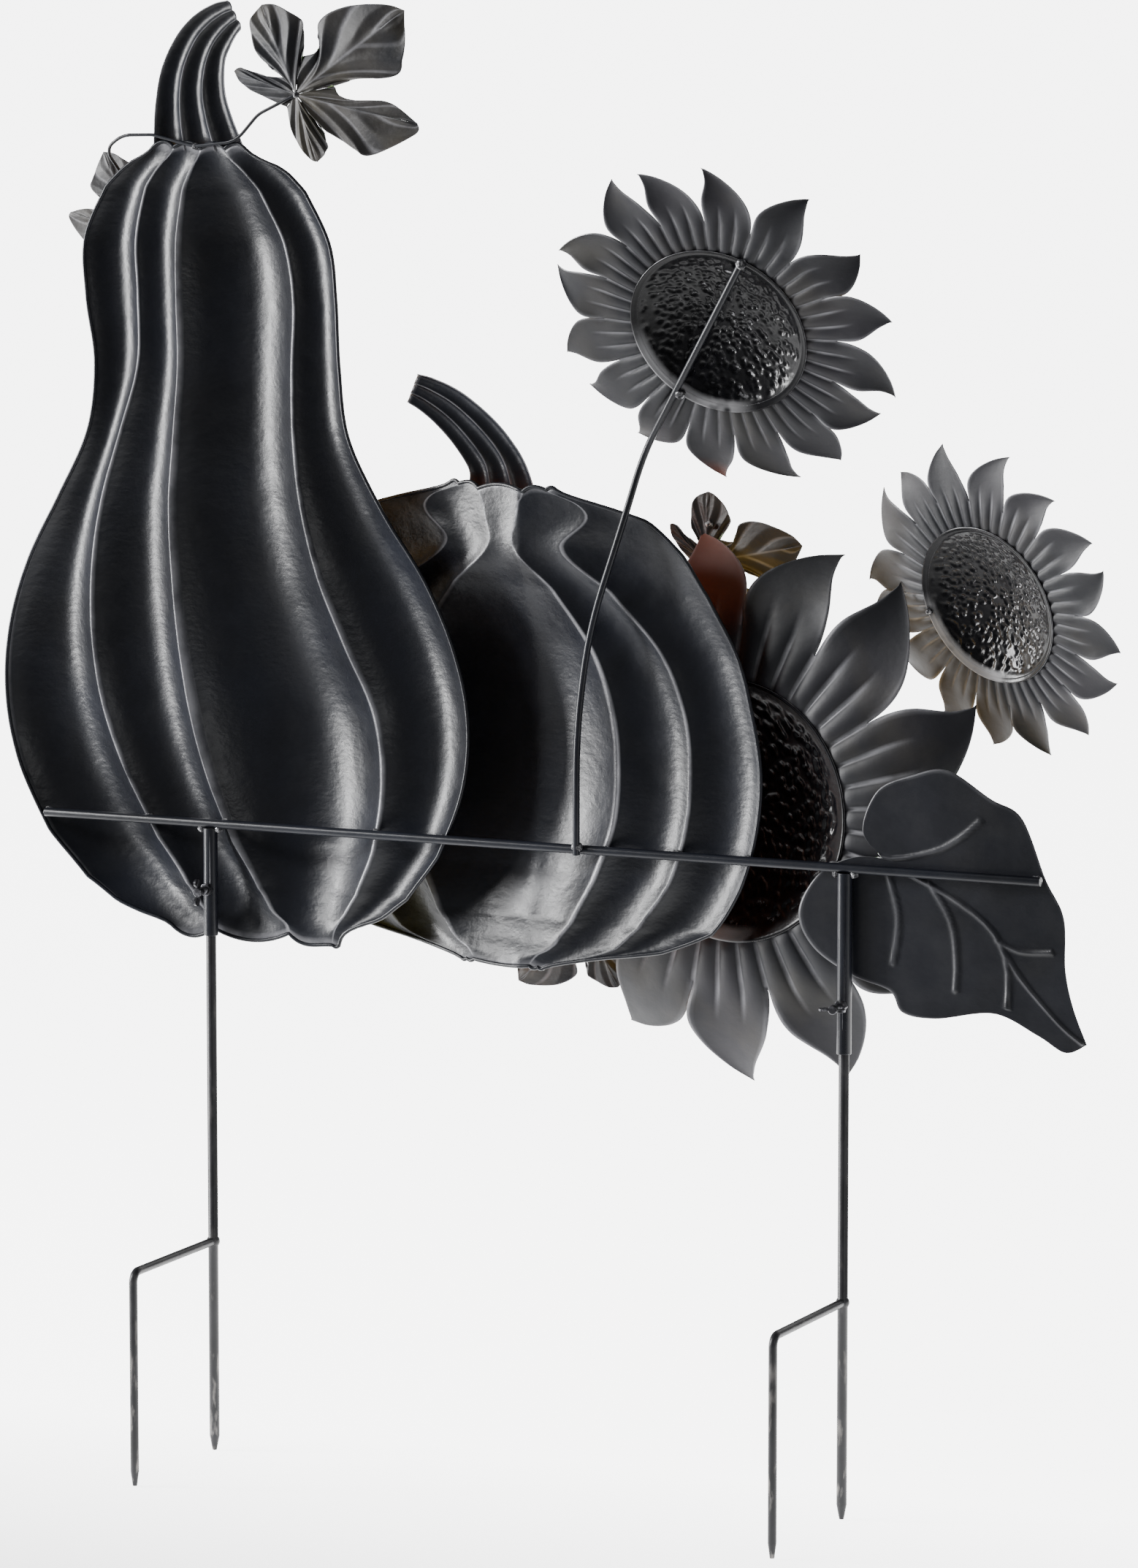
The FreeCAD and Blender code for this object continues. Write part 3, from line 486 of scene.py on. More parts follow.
PALETTE = Palette()
BACK = RearEnamel("rear_enamel")
PETAL_BACK = RearEnamel("petal_rear_enamel", haze=(0.0085, 0.0075, 0.0105), spray=0.2, rubbed=0.7,
                        rough=0.46, hammer=0.2)
LEAF_BACK = RearEnamel("leaf_rear_enamel", haze=(0.0085, 0.009, 0.012), spray=0.05, rubbed=0.5,
                       hammer=0.2)
VINE_LEAF_BACK = RearEnamel("vine_leaf_rear_enamel", haze=(0.060, 0.053, 0.044), spray=0.5,
                            rubbed=0.5, rough=0.42)
BAR_ENAMEL = RearEnamel("bar_enamel", rubbed=0.0, rough=0.26, hammer=0.12)
EDGE = RubbedCoat("cut_edge", 85.0, (0.4, 0.62), 0.8, (0.03, 0.03, 0.034), (0.26, 0.26, 0.27),
                  rough=0.42, smoothed=0.1, metal=0.6)
ZINC = RubbedCoat("screw_zinc", 220.0, (0.5, 0.7), 1.0, (0.02, 0.02, 0.023), (0.11, 0.11, 0.12),
                  rough=0.36, smoothed=0.08, metal=0.75, lumps=(500.0, 2.0, 0.2, 0.3 * MM),
                  plated=True)
WELD = RubbedCoat("weld_enamel", 260.0, (0.48, 0.66), 0.7, (0.012, 0.012, 0.014),
                  (0.36, 0.36, 0.37), rough=0.38, smoothed=0.12, metal=0.8,
                  lumps=(400.0, 4.0, 0.6, 1.2 * MM), gloss=DARK_GLOSS)


# Mesh helpers

def patch(bm: Mesh, columns: int, rows: int, place: Place, marks: Marks) -> None:
    """Add a grid to a mesh and move its corners onto a surface.

    Args:
        bm: The mesh.
        columns: Squares across.
        rows: Squares up.
        place: Point of the surface from across and up, each 0 to 1.
        marks: Values to store on the corners, by name.
    """
    layers = {key: bm.verts.layers.float.get(key) or bm.verts.layers.float.new(key)
              for key in marks}
    corners = bmesh.ops.create_grid(bm, x_segments=columns, y_segments=rows, size=0.5)["verts"]
    for vert in corners:
        u, v = vert.co.x + 0.5, vert.co.y + 0.5
        for key, mark in marks.items():
            vert[layers[key]] = mark(u, v)
        vert.co = place(u, v)


def linked(name: str, data: bpy.types.ID) -> Object:
    """Object of the given data, in the scene."""
    made = bpy.data.objects.new(name, data)
    bpy.context.scene.collection.objects.link(made)
    return made


def to_object(bm: Mesh, name: str, *finishes: object,
              merge: float = 0.0) -> Object:
    """Turn a finished mesh into a smooth-shaded object.

    Args:
        bm: The mesh, freed here.
        name: The object's name.
        finishes: Its finishes, by material slot.
        merge: Distance within which corners are joined, 0 for none.

    Returns:
        The object, linked to the scene.
    """
    if merge:
        bmesh.ops.remove_doubles(bm, verts=bm.verts, dist=merge)
        bmesh.ops.dissolve_degenerate(bm, edges=bm.edges, dist=merge * 0.1)
    for face in bm.faces:
        face.smooth = True
    mesh = bpy.data.meshes.new(name)
    bm.to_mesh(mesh)
    bm.free()
    for finish in finishes:
        mesh.materials.append(PALETTE.get(finish))
    return linked(name, mesh)


REAR = Vector((0, -1, 0))


def sheet_piece(bm: Mesh, name: str, finishes: Sequence[object],
                merge: float = 0.05 * MM, rear: Vector = REAR) -> Object:
    """Give an open surface its thickness towards the front.

    Args:
        bm: The surface as seen from the back.
        name: The object's name.
        finishes: Rear, front and edge finish.
        merge: Distance within which corners are joined.
        rear: The way that the piece's back faces.

    Returns:
        The object.
    """
    bmesh.ops.remove_doubles(bm, verts=bm.verts, dist=merge)
    bm.normal_update()
    turned_away = [face for face in bm.faces if face.normal.dot(rear) < 0]
    bmesh.ops.reverse_faces(bm, faces=turned_away)
    made = to_object(bm, name, *finishes)
    wall = made.modifiers.new("gauge", "SOLIDIFY")
    wall.thickness = GAUGE
    wall.offset = -1.0
    wall.use_even_offset = False
    wall.material_offset = 1
    wall.material_offset_rim = 2
    return made


def wire_loop(name: str, route: Sequence[Vector], radius: float, finish: object) -> Object:
    """Round wire that joins up with itself.

    Args:
        name: The object's name.
        route: Points of its centre line.
        radius: Its radius.
        finish: Its finish.

    Returns:
        The object.
    """
    curve = bpy.data.curves.new(name + "_line", "CURVE")
    curve.dimensions = "3D"
    curve.bevel_depth = radius
    curve.bevel_resolution = 3
    line = curve.splines.new("POLY")
    line.points.add(len(route) - 1)
    for point, spot in zip(line.points, route):
        point.co = (*spot, 1.0)
    line.use_cyclic_u = True
    holder = bpy.data.objects.new(name + "_line", curve)
    bm = bmesh.new()
    bm.from_mesh(bpy.data.meshes.new_from_object(holder))
    bpy.data.objects.remove(holder)
    return to_object(bm, name, finish, merge=JOIN)


def connected(start: bmesh.types.BMVert) -> set[bmesh.types.BMVert]:
    """All corners joined to one corner by edges."""
    found, fresh = {start}, [start]
    while fresh:
        for edge in fresh.pop().link_edges:
            for vert in edge.verts:
                if vert not in found:
                    found.add(vert)
                    fresh.append(vert)
    return found


def node_mesh(node: Object) -> Mesh:
    """Merged copy of a CAD node's mesh."""
    bm = bmesh.new()
    bm.from_mesh(node.data)
    bmesh.ops.remove_doubles(bm, verts=bm.verts, dist=JOIN)
    return bm


# Sub-assemblies

class Part:
    """One sub-assembly of the display: it builds its pieces and ties them to the frame."""

    body = "display"

    def __init__(self, frame: dict) -> None:
        """Keep the frame's nodes."""
        self.nodes = frame["nodes"]

    def seat(self, piece: Object, slot: str, *nodes: str,
             body: str | None = None) -> Object:
        """Tie a piece to its body.

        Args:
            piece: The finished piece.
            slot: The material slot it takes its finish from; not used.
            nodes: CAD nodes that it stands for.
            body: The body it rides on, if not this part's own.

        Returns:
            The piece.
        """
        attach(piece, body or self.body)
        if nodes:
            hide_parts(*nodes)
        log.info("%s: %d corners, stands for %s", piece.name, len(piece.data.vertices),
                 ", ".join(nodes) or "nothing")
        return piece


@dataclass
class Pressing:
    """Fluted pressing: ridge lines against the bar, joined by lobes that bulge to the front."""

    name: str
    paint: Paint
    rows: Sequence[Sequence[float]]
    bulge: float
    scallop: float
    per_lobe: int
    rise: int
    crest_round: float = 2.2 * MM
    rim: float = 1.7 * MM

    def frame_up(self, low: Vector, high: Vector) -> None:
        """Fit the drawn rows to the CAD box."""
        lines = [x for row in self.rows for x in row[1:-1]]
        self.low, self.high = low, high
        self.left, self.drawn_width = min(lines), max(lines) - min(lines)
        self.drawn_height = self.rows[-1][0] - self.rows[0][0]
        self.lobes = len(self.rows[0]) - 3

    def row(self, share: float) -> tuple[list[float], float, float]:
        """Ridge lines, height and opening at a share of the height, all in metres but the last."""
        drawn = at_height(self.rows, self.rows[0][0] + share * self.drawn_height)
        scale = (self.high.x - self.low.x) / self.drawn_width
        lines = [self.low.x + (x - self.left) * scale for x in drawn[1:-1]]
        height = self.low.z + share * (self.high.z - self.low.z)
        return lines, height, min(max(drawn[-1], 0.0), 1.0)

    def rear(self, across: float, opening: float) -> float:
        """Depth of the ridges."""
        relief = 7 * MM
        return self.low.y + relief * (1 - opening)

    def point(self, u: float, v: float) -> Vector:
        """Point of the pressing's rear surface."""
        lines, height, opening = self.row(v)
        lobe = min(int(u * self.lobes), self.lobes - 1)
        share = u * self.lobes - lobe
        start, end = lines[lobe], lines[lobe + 1]
        x = start + share * (end - start)
        arch = 4 * share * (1 - share)
        depth = self.bulge * opening * (end - start) * arch ** 0.85
        depth = math.hypot(depth, self.crest_round) - self.crest_round
        border = smooth(0.045, 0.0, v) + smooth(0.96, 1.0, v)
        dips = [min(self.scallop, 0.22 * min(b - a for a, b in zip(near, near[1:])))
                for near in (lines[max(lobe - 1, 0):lobe + 2], lines[lobe:lobe + 3])]
        sag = (dips[0] + share * (dips[1] - dips[0])) * border * (1 - arch)
        z = height + (sag if v < 0.5 else -sag)
        spot = Vector((x, self.rear(x, opening) + depth, z))
        spot.y += ripple(spot, 14.0, 0.9 * MM) + ripple(spot, 42.0, 0.25 * MM)
        return spot

    def crest(self, u: float, v: float) -> float:
        """1 on ridge lines and rims, 0 in the lobes."""
        ridge = smooth(0.035, 0.0, from_line(u, self.lobes))
        return max(ridge, smooth(0.012, 0.0, v), smooth(0.988, 1.0, v))

    def fold(self, u: float, v: float) -> float:
        """1 in the front's valleys, which are the ridges behind."""
        return smooth(0.22, 0.0, from_line(u, self.lobes))

    def shell(self) -> Object:
        """The pressed sheet."""
        bm = bmesh.new()
        marks = {"crest": self.crest, "fold": self.fold, "along": lambda u, v: 1 - v}
        patch(bm, self.per_lobe * self.lobes, self.rise, self.point, marks)
        return sheet_piece(bm, self.name + "_pressing", (BACK, self.paint.finish(), EDGE))

    def rolled_rim(self) -> Object:
        """Wire edge rolled into the pressing's outline."""
        up = [step / self.rise for step in range(self.rise + 1)]
        columns = self.per_lobe * self.lobes
        over = [step / columns for step in range(1, columns)]
        route = [self.point(0, v) for v in up] + [self.point(u, 1) for u in over]
        route += [self.point(1, v) for v in reversed(up)]
        route += [self.point(u, 0) for u in reversed(over)]
        inward = Vector((0, 0.4 * MM, 0))
        return wire_loop(self.name + "_rolled_rim", [spot + inward for spot in route], self.rim,
                         BACK)


@dataclass
class PumpkinPressing(Pressing):
    """The pumpkin: its left side stands forward, in front of the gourd."""

    ahead: float = 0.0

    def rear(self, across: float, opening: float) -> float:
        """Depth of the ridges, ramping forward to the left of its middle."""
        width = self.high.x - self.low.x
        middle = (self.low.x + self.high.x) / 2
        share = min(max((middle + 0.04 * width - across) / (0.4 * width), 0.0), 1.0)
        return self.low.y + share * self.ahead


@dataclass
class FlutedStem:
    """Curved stem pressing with flutes; each station is centre across and up, lean and width."""

    name: str
    foot: Vector
    stations: Sequence[tuple[float, float, float, float]]
    flutes: int = 3
    depth: float = 0.3

    def point(self, u: float, v: float) -> Vector:
        """Point of the stem's rear surface."""
        across, up, lean, width = eased(self.stations, v)
        tilt = math.radians(lean)
        share = (u * self.flutes) % 1.0 if u < 1 else 1.0
        arch = 4 * share * (1 - share)
        depth = self.depth * width / self.flutes * arch ** 0.8
        offset = (u - 0.5) * width
        flare = -1.6 * smooth(0.9, 1.0, v) * (1 - arch)
        spot = Vector((across + offset * math.cos(tilt), depth,
                       up - offset * math.sin(tilt) + flare)) * MM + self.foot
        spot.y += ripple(spot, 60.0, 0.4 * MM)
        return spot

    def build(self) -> Object:
        """The pressed stem with a little lip at its cut end."""
        bm = bmesh.new()
        flutes = self.flutes
        marks = {"crest": lambda u, v: max(smooth(0.07, 0.0, from_line(u, flutes)),
                                           smooth(0.97, 1.0, v)),
                 "fold": lambda u, v: smooth(0.3, 0.0, from_line(u, flutes)),
                 "along": lambda u, v: v}
        patch(bm, 16 * flutes, 60, self.point, marks)
        return sheet_piece(bm, self.name, (BACK, Paint.STEM.finish(), EDGE))


class Gourds(Part):
    """The gourd and the pumpkin with their stems and rolled rims."""

    GOURD_ROWS = [
        (0, -45, -3, 72, 115, 121, 0.12), (13, -72, 0, 70, 118, 130, 0.40),
        (28, -97, -12, 58, 128, 163, 0.65), (48, -126, -26, 45, 141, 190, 0.85),
        (88, -164, -55, 20, 158, 221, 1.0), (148, -194, -88, -6, 167, 245, 1.0),
        (208, -206, -110, -23, 160, 250, 1.0), (268, -202, -119, -33, 132, 237, 1.0),
        (328, -183, -118, -39, 105, 209, 1.0), (388, -151, -108, -41, 89, 168, 1.0),
        (448, -121, -89, -36, 82, 136, 1.0), (508, -113, -71, -31, 81, 127, 1.0),
        (568, -121, -70, -32, 83, 124, 1.0), (618, -122, -72, -32, 74, 118, 1.0),
        (663, -101, -62, -25, 50, 94, 0.85), (688, -76, -46, -15, 27, 66, 0.60),
        (703, -56, -36, -10, 14, 34, 0.30)]
    PUMPKIN_HALVES = [
        (0, 30, 38, 44, 0.12), (12, 42, 84, 94, 0.35), (22, 54, 112, 155, 0.55),
        (42, 70, 134, 203, 0.80), (82, 92, 162, 229, 1.0), (132, 111, 178, 244, 1.0),
        (182, 115, 182, 248, 1.0), (232, 109, 176, 240, 1.0), (282, 90, 154, 226, 1.0),
        (332, 52, 106, 198, 0.80), (367, 14, 60, 174, 0.50), (394, 17, 84, 142, 0.35),
        (408, 20, 74, 92, 0.28), (420, 24, 46, 56, 0.20)]
    GOURD_STEM = [(0, -7, 0, 90), (-7, 30, -2, 72), (-6, 58, 8, 62), (3, 83, 26, 51),
                  (17, 100, 44, 41), (35, 113, 62, 27)]
    PUMPKIN_STEM = [(0, 0, 0, 70), (-1, 28, -6, 62), (-8, 52, -24, 50), (-28, 76, -46, 43),
                    (-54, 97, -58, 36), (-86, 113, -68, 26)]

    def press(self, shell: Pressing) -> None:
        """Fit a pressing to its CAD node, then seat it and its rim."""
        node, slot = shell.name + "_body", shell.name + "_enamel"
        shell.frame_up(*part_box(node))
        self.seat(shell.shell(), slot, node)
        self.seat(shell.rolled_rim(), slot)

    def stem(self, node: str, foot: Vector, stations: Sequence[Sequence[float]]) -> None:
        """Seat a stem pressing in place of its CAD node."""
        made = FlutedStem(node + "_pressing", foot, stations).build()
        self.seat(made, "stem_enamel", node)

    def gourd(self) -> None:
        """The tall gourd and its stem."""
        shell = Pressing("gourd", Paint.GOURD, self.GOURD_ROWS, bulge=0.29, scallop=9 * MM,
                         per_lobe=26, rise=190)
        self.press(shell)
        lines, top, opening = shell.row(1.0)
        foot = Vector(((lines[0] + lines[-1]) / 2, shell.rear(0, opening), top))
        self.stem("gourd_stem", foot, self.GOURD_STEM)

    def pumpkin(self) -> None:
        """The pumpkin and its stem, which stands in the dimple."""
        rows = [(row[0], *(-half for half in reversed(row[1:4])), *row[1:4], row[4])
                for row in self.PUMPKIN_HALVES]
        gourd_low, gourd_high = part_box("gourd_body")
        gap, stem_left = 2 * MM, 11 * MM
        shell = PumpkinPressing("pumpkin", Paint.PUMPKIN, rows, bulge=0.2, scallop=8 * MM,
                                per_lobe=30, rise=150, ahead=gourd_high.y - gourd_low.y + gap)
        self.press(shell)
        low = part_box("pumpkin_stem")[0]
        across = (shell.low.x + shell.high.x) / 2 - stem_left
        self.stem("pumpkin_stem", Vector((across, low.y, low.z)), self.PUMPKIN_STEM)

    def build(self) -> None:
        """Both."""
        self.gourd()
        self.pumpkin()


@dataclass
class Bloom:
    """One sunflower: a cupped ring of creased petals and a hammered seed dish behind it.

    The angles are in degrees, and petals are counted anticlockwise from the right, seen from the
    back. Local Z points out of the flower's front.
    """

    name: str
    turned_right: float
    tipped_up: float
    petals: int
    first: float
    cup: float
    dish_depth: float
    crease: float
    cell: float
    hooks: Sequence[float]
    sprayed: int
    spray_from: float
    folds: int = 3

    FLAME = [(1.0,), (0.99,), (0.96,), (0.90,), (0.79,), (0.61,), (0.40,), (0.20,), (0.0,)]

    def measure(self, ring: Object, dish: Object) -> None:
        """Read the flower's centre and radii from its CAD nodes."""
        turn = (Matrix.Rotation(-math.radians(self.turned_right), 3, "Z")
                @ Matrix.Rotation(math.radians(self.tipped_up - 90), 3, "X"))
        back = turn.transposed()
        low, high = extent(back @ vert.co for vert in dish.data.vertices)
        centre = Vector(((low.x + high.x) / 2, (low.y + high.y) / 2, low.z + GAUGE))
        flange = 4 * MM
        self.dish_r = (high.x - low.x) / 2 - flange
        self.flange_r = self.dish_r + flange
        self.tip_r = max((back @ vert.co - centre).xy.length for vert in ring.data.vertices)
        self.place = Matrix.Translation(turn @ centre) @ turn.to_4x4()
        self.rear = turn @ Vector((0, 0, -1))

    def spot(self, radius: float, angle: float, forward: float) -> Vector:
        """Point of the flower in the display's frame."""
        return self.place @ Vector((radius * math.cos(angle), -radius * math.sin(angle), forward))

    def rise(self, radius: float) -> float:
        """How far the cupped ring stands forward at a radius."""
        flat = self.dish_r + 8 * MM
        share = max((radius - flat) / (self.tip_r - flat), 0.0)
        return self.cup * (0.8 * share * share + 0.2 * share)

    def petal(self, bm: Mesh, number: int, dice: random.Random) -> None:
        """Add one petal: pleated at its root, widest past the notch, hooked at its tip."""
        half = math.pi / self.petals
        middle = math.radians(self.first) + 2 * half * number
        notch = 0.34
        root_r = self.dish_r - 1.5 * MM
        hook = math.radians(self.hooks[number % len(self.hooks)])
        tip_bend = half * dice.uniform(0.7, 1.3) * dice.choice((1, -1))
        nod = dice.uniform(-5, 4) * MM
        short = dice.uniform(0.0, 0.05)
        curl = dice.uniform(0.03, 0.07) * (self.tip_r - self.dish_r)

        def free(v: float) -> float:
            """0 where petals are joined, 1 at the tip."""
            return max(v - notch, 0.0) / (1 - notch)

        def place(u: float, v: float) -> Vector:
            """Point of the petal."""
            x = free(v)
            side = 2 * u - 1
            radius = root_r + v * (self.tip_r - root_r)
            narrowing = eased(self.FLAME, x)[0]
            angle = middle + side * half * narrowing + hook * x ** 1.6
            angle += tip_bend * x * x * (x - 0.55)
            pleat = 1 - 2 * abs(math.sin(math.pi * self.folds * u)) ** 0.6
            pleat *= self.crease * smooth(0.0, 0.1, v) * (1 - smooth(0.2, 0.62, v))
            cupping = curl * side * side * smooth(0, 0.5, x) * narrowing
            forward = self.rise(radius) + pleat + nod * x ** 3 - cupping
            spot = self.spot(radius - short * x * x * self.tip_r, angle, forward)
            spot.y += ripple(spot, 30.0, 0.7 * MM) * smooth(0.2, 0.6, v)
            return spot

        def pleat_line(u: float, v: float) -> float:
            """1 along the pleats."""
            near = abs((self.folds * u + 0.5) % 1.0 - 0.5)
            return smooth(0.1, 0.0, near) * (1 - smooth(0.25, 0.6, v)) * smooth(0.02, 0.1, v)

        def crest(u: float, v: float) -> float:
            """1 along pleats and free edges."""
            rim = smooth(0.06, 0.0, min(u, 1 - u)) * smooth(0.0, 0.1, free(v))
            return max(pleat_line(u, v), 0.8 * rim)

        def spray(u: float, v: float) -> float:
            """1 where front paint has drifted round a petal's back."""
            if number != self.sprayed:
                return 0.0
            return smooth(self.spray_from, self.spray_from + 0.3, v)

        patch(bm, 8 * self.folds, 40, place, {"crest": crest, "fold": pleat_line, "spray": spray,
                                              "along": lambda u, v: v})

    def ring(self) -> Object:
        """All petals, joined at their roots."""
        dice = random.Random(self.name)
        bm = bmesh.new()
        for number in range(self.petals):
            self.petal(bm, number, dice)
        return sheet_piece(bm, self.name + "_petal_ring",
                           (PETAL_BACK, Paint.PETAL.finish(), EDGE), rear=self.rear)

    def dish(self) -> Object:
        """The hammered dish with its smooth band and turned lip."""
        sphere = (self.dish_r ** 2 + self.dish_depth ** 2) / (2 * self.dish_depth)
        band_start = 0.92

        def nearest(u: float, v: float) -> float:
            """1 in the middle of a hammer mark, 0 between marks."""
            radius, angle = v * self.flange_r, 2 * math.pi * u
            spot = Vector((math.cos(angle), math.sin(angle), 0)) * radius
            gap = noise.voronoi(spot / self.cell + Vector((0, 0, self.petals)))[0][0]
            return max(1 - (gap / 0.62) ** 2, 0.0)

        def hammered(v: float) -> float:
            """1 inside, 0 on the smooth band."""
            return smooth(band_start, band_start - 0.05, v)

        def place(u: float, v: float) -> Vector:
            """Point of the dish's rear surface."""
            radius = v * self.flange_r
            bowl = max(sphere ** 2 - radius ** 2, 0.0)
            forward = max(self.dish_depth - sphere + math.sqrt(bowl), 0.0)
            forward += nearest(u, v) * hammered(v) * 0.27 * self.cell
            forward -= GAUGE + 1.3 * MM * smooth(0.965, 0.99, v)
            return self.spot(radius, 2 * math.pi * u, forward)

        def band_highlight(u: float, v: float) -> float:
            """1 on the lower left of the band, where a painted highlight stands for a lamp's
            reflection.
            """
            low_left = 0.64
            return smooth(0.16, 0.08, abs(u - low_left)) * smooth(band_start - 0.05, band_start, v)

        bm = bmesh.new()
        patch(bm, 264, 62, place, {
            "bump": lambda u, v: nearest(u, v) * hammered(v), "band": band_highlight,
            "along": lambda u, v: v, "fold": lambda u, v: 0.0,
            "crest": lambda u, v: smooth(0.975, 1.0, v)})
        return sheet_piece(bm, self.name + "_hammered_dish",
                           (HammeredEnamel("hammered_rear"), SeedPaint("seed_front"), EDGE),
                           merge=0.12 * MM, rear=self.rear)


class Sunflowers(Part):
    """The three sunflowers."""

    BLOOMS = [
        Bloom("large_sunflower", 8, 0, 13, 19, 45 * MM, 28 * MM, 2.4 * MM, 7.4 * MM,
              (0, 4, 1, -5, 3, -2), 3, 0.25),
        Bloom("upper_sunflower", 0, 27, 16, 7.5, 12 * MM, 20 * MM, 1.3 * MM, 5.6 * MM,
              (0, -9, 3, 7, 8, 4, 6, 0, 0, 1, 0, 1, 4, 7, 0, -3), 11, 0.72),
        Bloom("right_sunflower", 20, 18, 16, 10, 10 * MM, 18 * MM, 1.3 * MM, 5.2 * MM,
              (2, -2, -3, -2, 4, 0, -1, 4, -7, 1, 3, 4, -2, 6, 2, 2), -1, 0.0)]

    def build(self) -> None:
        """Petals and dish of each."""
        for bloom in self.BLOOMS:
            ring, dish = bloom.name + "_petals", bloom.name + "_dish"
            bloom.measure(self.nodes[ring], self.nodes[dish])
            self.seat(bloom.ring(), "petal_enamel", ring)
            self.seat(bloom.dish(), "dish_enamel", dish)


# Leaves

Outline = Sequence[tuple[float, float]]


@dataclass
class LeafRelief:
    """How a leaf is pressed: folds in each half, their depth, the midrib's, the whole's bend."""

    folds: float
    depth: float
    keel: float
    bend: float


@dataclass
class Leaf:
    """Pressed leaf made of lobes; each lobe runs from notch to tip to notch about a midrib."""

    node: str
    lobes: Sequence[Outline]
    relief: LeafRelief
    size: float = 1.0
    turn: float = 0.0
    mirrored: bool = False
    midrib: Outline = ()
    veins: Sequence[Outline] = ()
    seed: int = 0
    across: int = 20
    along: int = 64

    def flat(self, point: Sequence[float]) -> Vector:
        """Leaf point turned and sized, across and up, without its place."""
        x = (-1 if self.mirrored else 1) * self.size * point[0] * MM
        z = self.size * point[1] * MM
        tilt = math.radians(self.turn)
        return Vector((x * math.cos(tilt) - z * math.sin(tilt), 0,
                       x * math.sin(tilt) + z * math.cos(tilt)))

    def halves(self) -> Iterable[tuple[Outline, Outline]]:
        """Each half lobe as its edge from notch to tip, and its midrib."""
        for lobe in self.lobes:
            tip = max(range(len(lobe)), key=lambda i: lobe[i][0] ** 2 + lobe[i][1] ** 2)
            rib = self.midrib or [(0.0, 0.0), tuple(lobe[tip])]
            yield lobe[:tip + 1], rib
            yield lobe[tip:][::-1], rib

    def vein_ridge(self, spot: Vector) -> float:
        """1 on a drawn vein of the leaf, 0 away from all of them, at an unplaced point."""
        half_width = 2.7 * MM
        gap = half_width
        for line in self.vein_lines:
            for start, end in zip(line, line[1:]):
                run = end - start
                share = min(max((spot - start).dot(run) / run.length_squared, 0.0), 1.0)
                gap = min(gap, (spot - start - run * share).length)
        return smooth(half_width, 0.0, gap)

    def build(self) -> Object:
        """The pressed leaf."""
        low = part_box(self.node)[0]
        spots = [self.flat(point) for lobe in self.lobes for point in lobe]
        origin = low - extent(spots)[0]
        runs = 12
        self.vein_lines = [[self.flat(eased(vein, step / runs)) for step in range(runs + 1)]
                           for vein in self.veins]
        reach = max(spot.length for spot in spots)
        relief = self.relief
        bm = bmesh.new()
        for number, (edge, rib) in enumerate(self.halves()):
            slide = (number * 0.37 + self.seed * 0.21) % 1.0

            def wave(u: float, v: float, slide: float = slide) -> float:
                """Pleats that run forward from midrib to edge, from -1 to 1."""
                phase = (relief.folds * (v - 0.32 * u) + slide) % 1.0
                return 4 * abs(phase - 0.5) - 1

            def flat_spot(u: float, v: float, edge: Outline = edge, rib: Outline = rib) -> Vector:
                """Unplaced point of one half lobe: u from midrib to edge, v from root to tip."""
                return self.flat(eased(rib, v)).lerp(self.flat(eased(edge, v)), u)

            def place(u: float, v: float) -> Vector:
                """Point of the half lobe's rear surface."""
                spot = flat_spot(u, v)
                width = (flat_spot(1, v) - flat_spot(0, v)).length / reach
                if self.veins:
                    depth = -relief.depth * self.vein_ridge(spot)
                else:
                    depth = relief.depth * wave(u, v) * smooth(0, 0.25, u) * smooth(0, 0.3, width)
                    depth -= relief.keel * (1 - u) ** 2 * smooth(0.0, 0.2, width)
                depth += relief.bend * (spot.length / reach) ** 2
                spot.y = depth + ripple(spot + origin, 24.0, 0.8 * MM)
                return spot + origin

            def vein(u: float, v: float) -> float:
                """1 on the veins or on the midrib and the pleats' lines."""
                if self.veins:
                    return self.vein_ridge(flat_spot(u, v)) * 0.3
                return max(smooth(0.06, 0.0, u),
                           0.0 if u > 0.97 else smooth(0.55, 0.95, wave(u, v)) * 0.8)

            # The crest mark pales veins and edges on the back: partly rub wear, partly a painted
            # highlight along them.
            patch(bm, self.across, self.along, place,
                  {"crest": lambda u, v: max(vein(u, v) * 0.9, 0.6 * smooth(0.97, 1.0, u)),
                   "fold": vein, "along": lambda u, v: u * 0.5 + v * 0.5})
        back = LEAF_BACK if self.midrib else VINE_LEAF_BACK
        return sheet_piece(bm, self.node + "_pressed", (back, Paint.LEAF.finish(), EDGE),
                           merge=0.08 * MM)


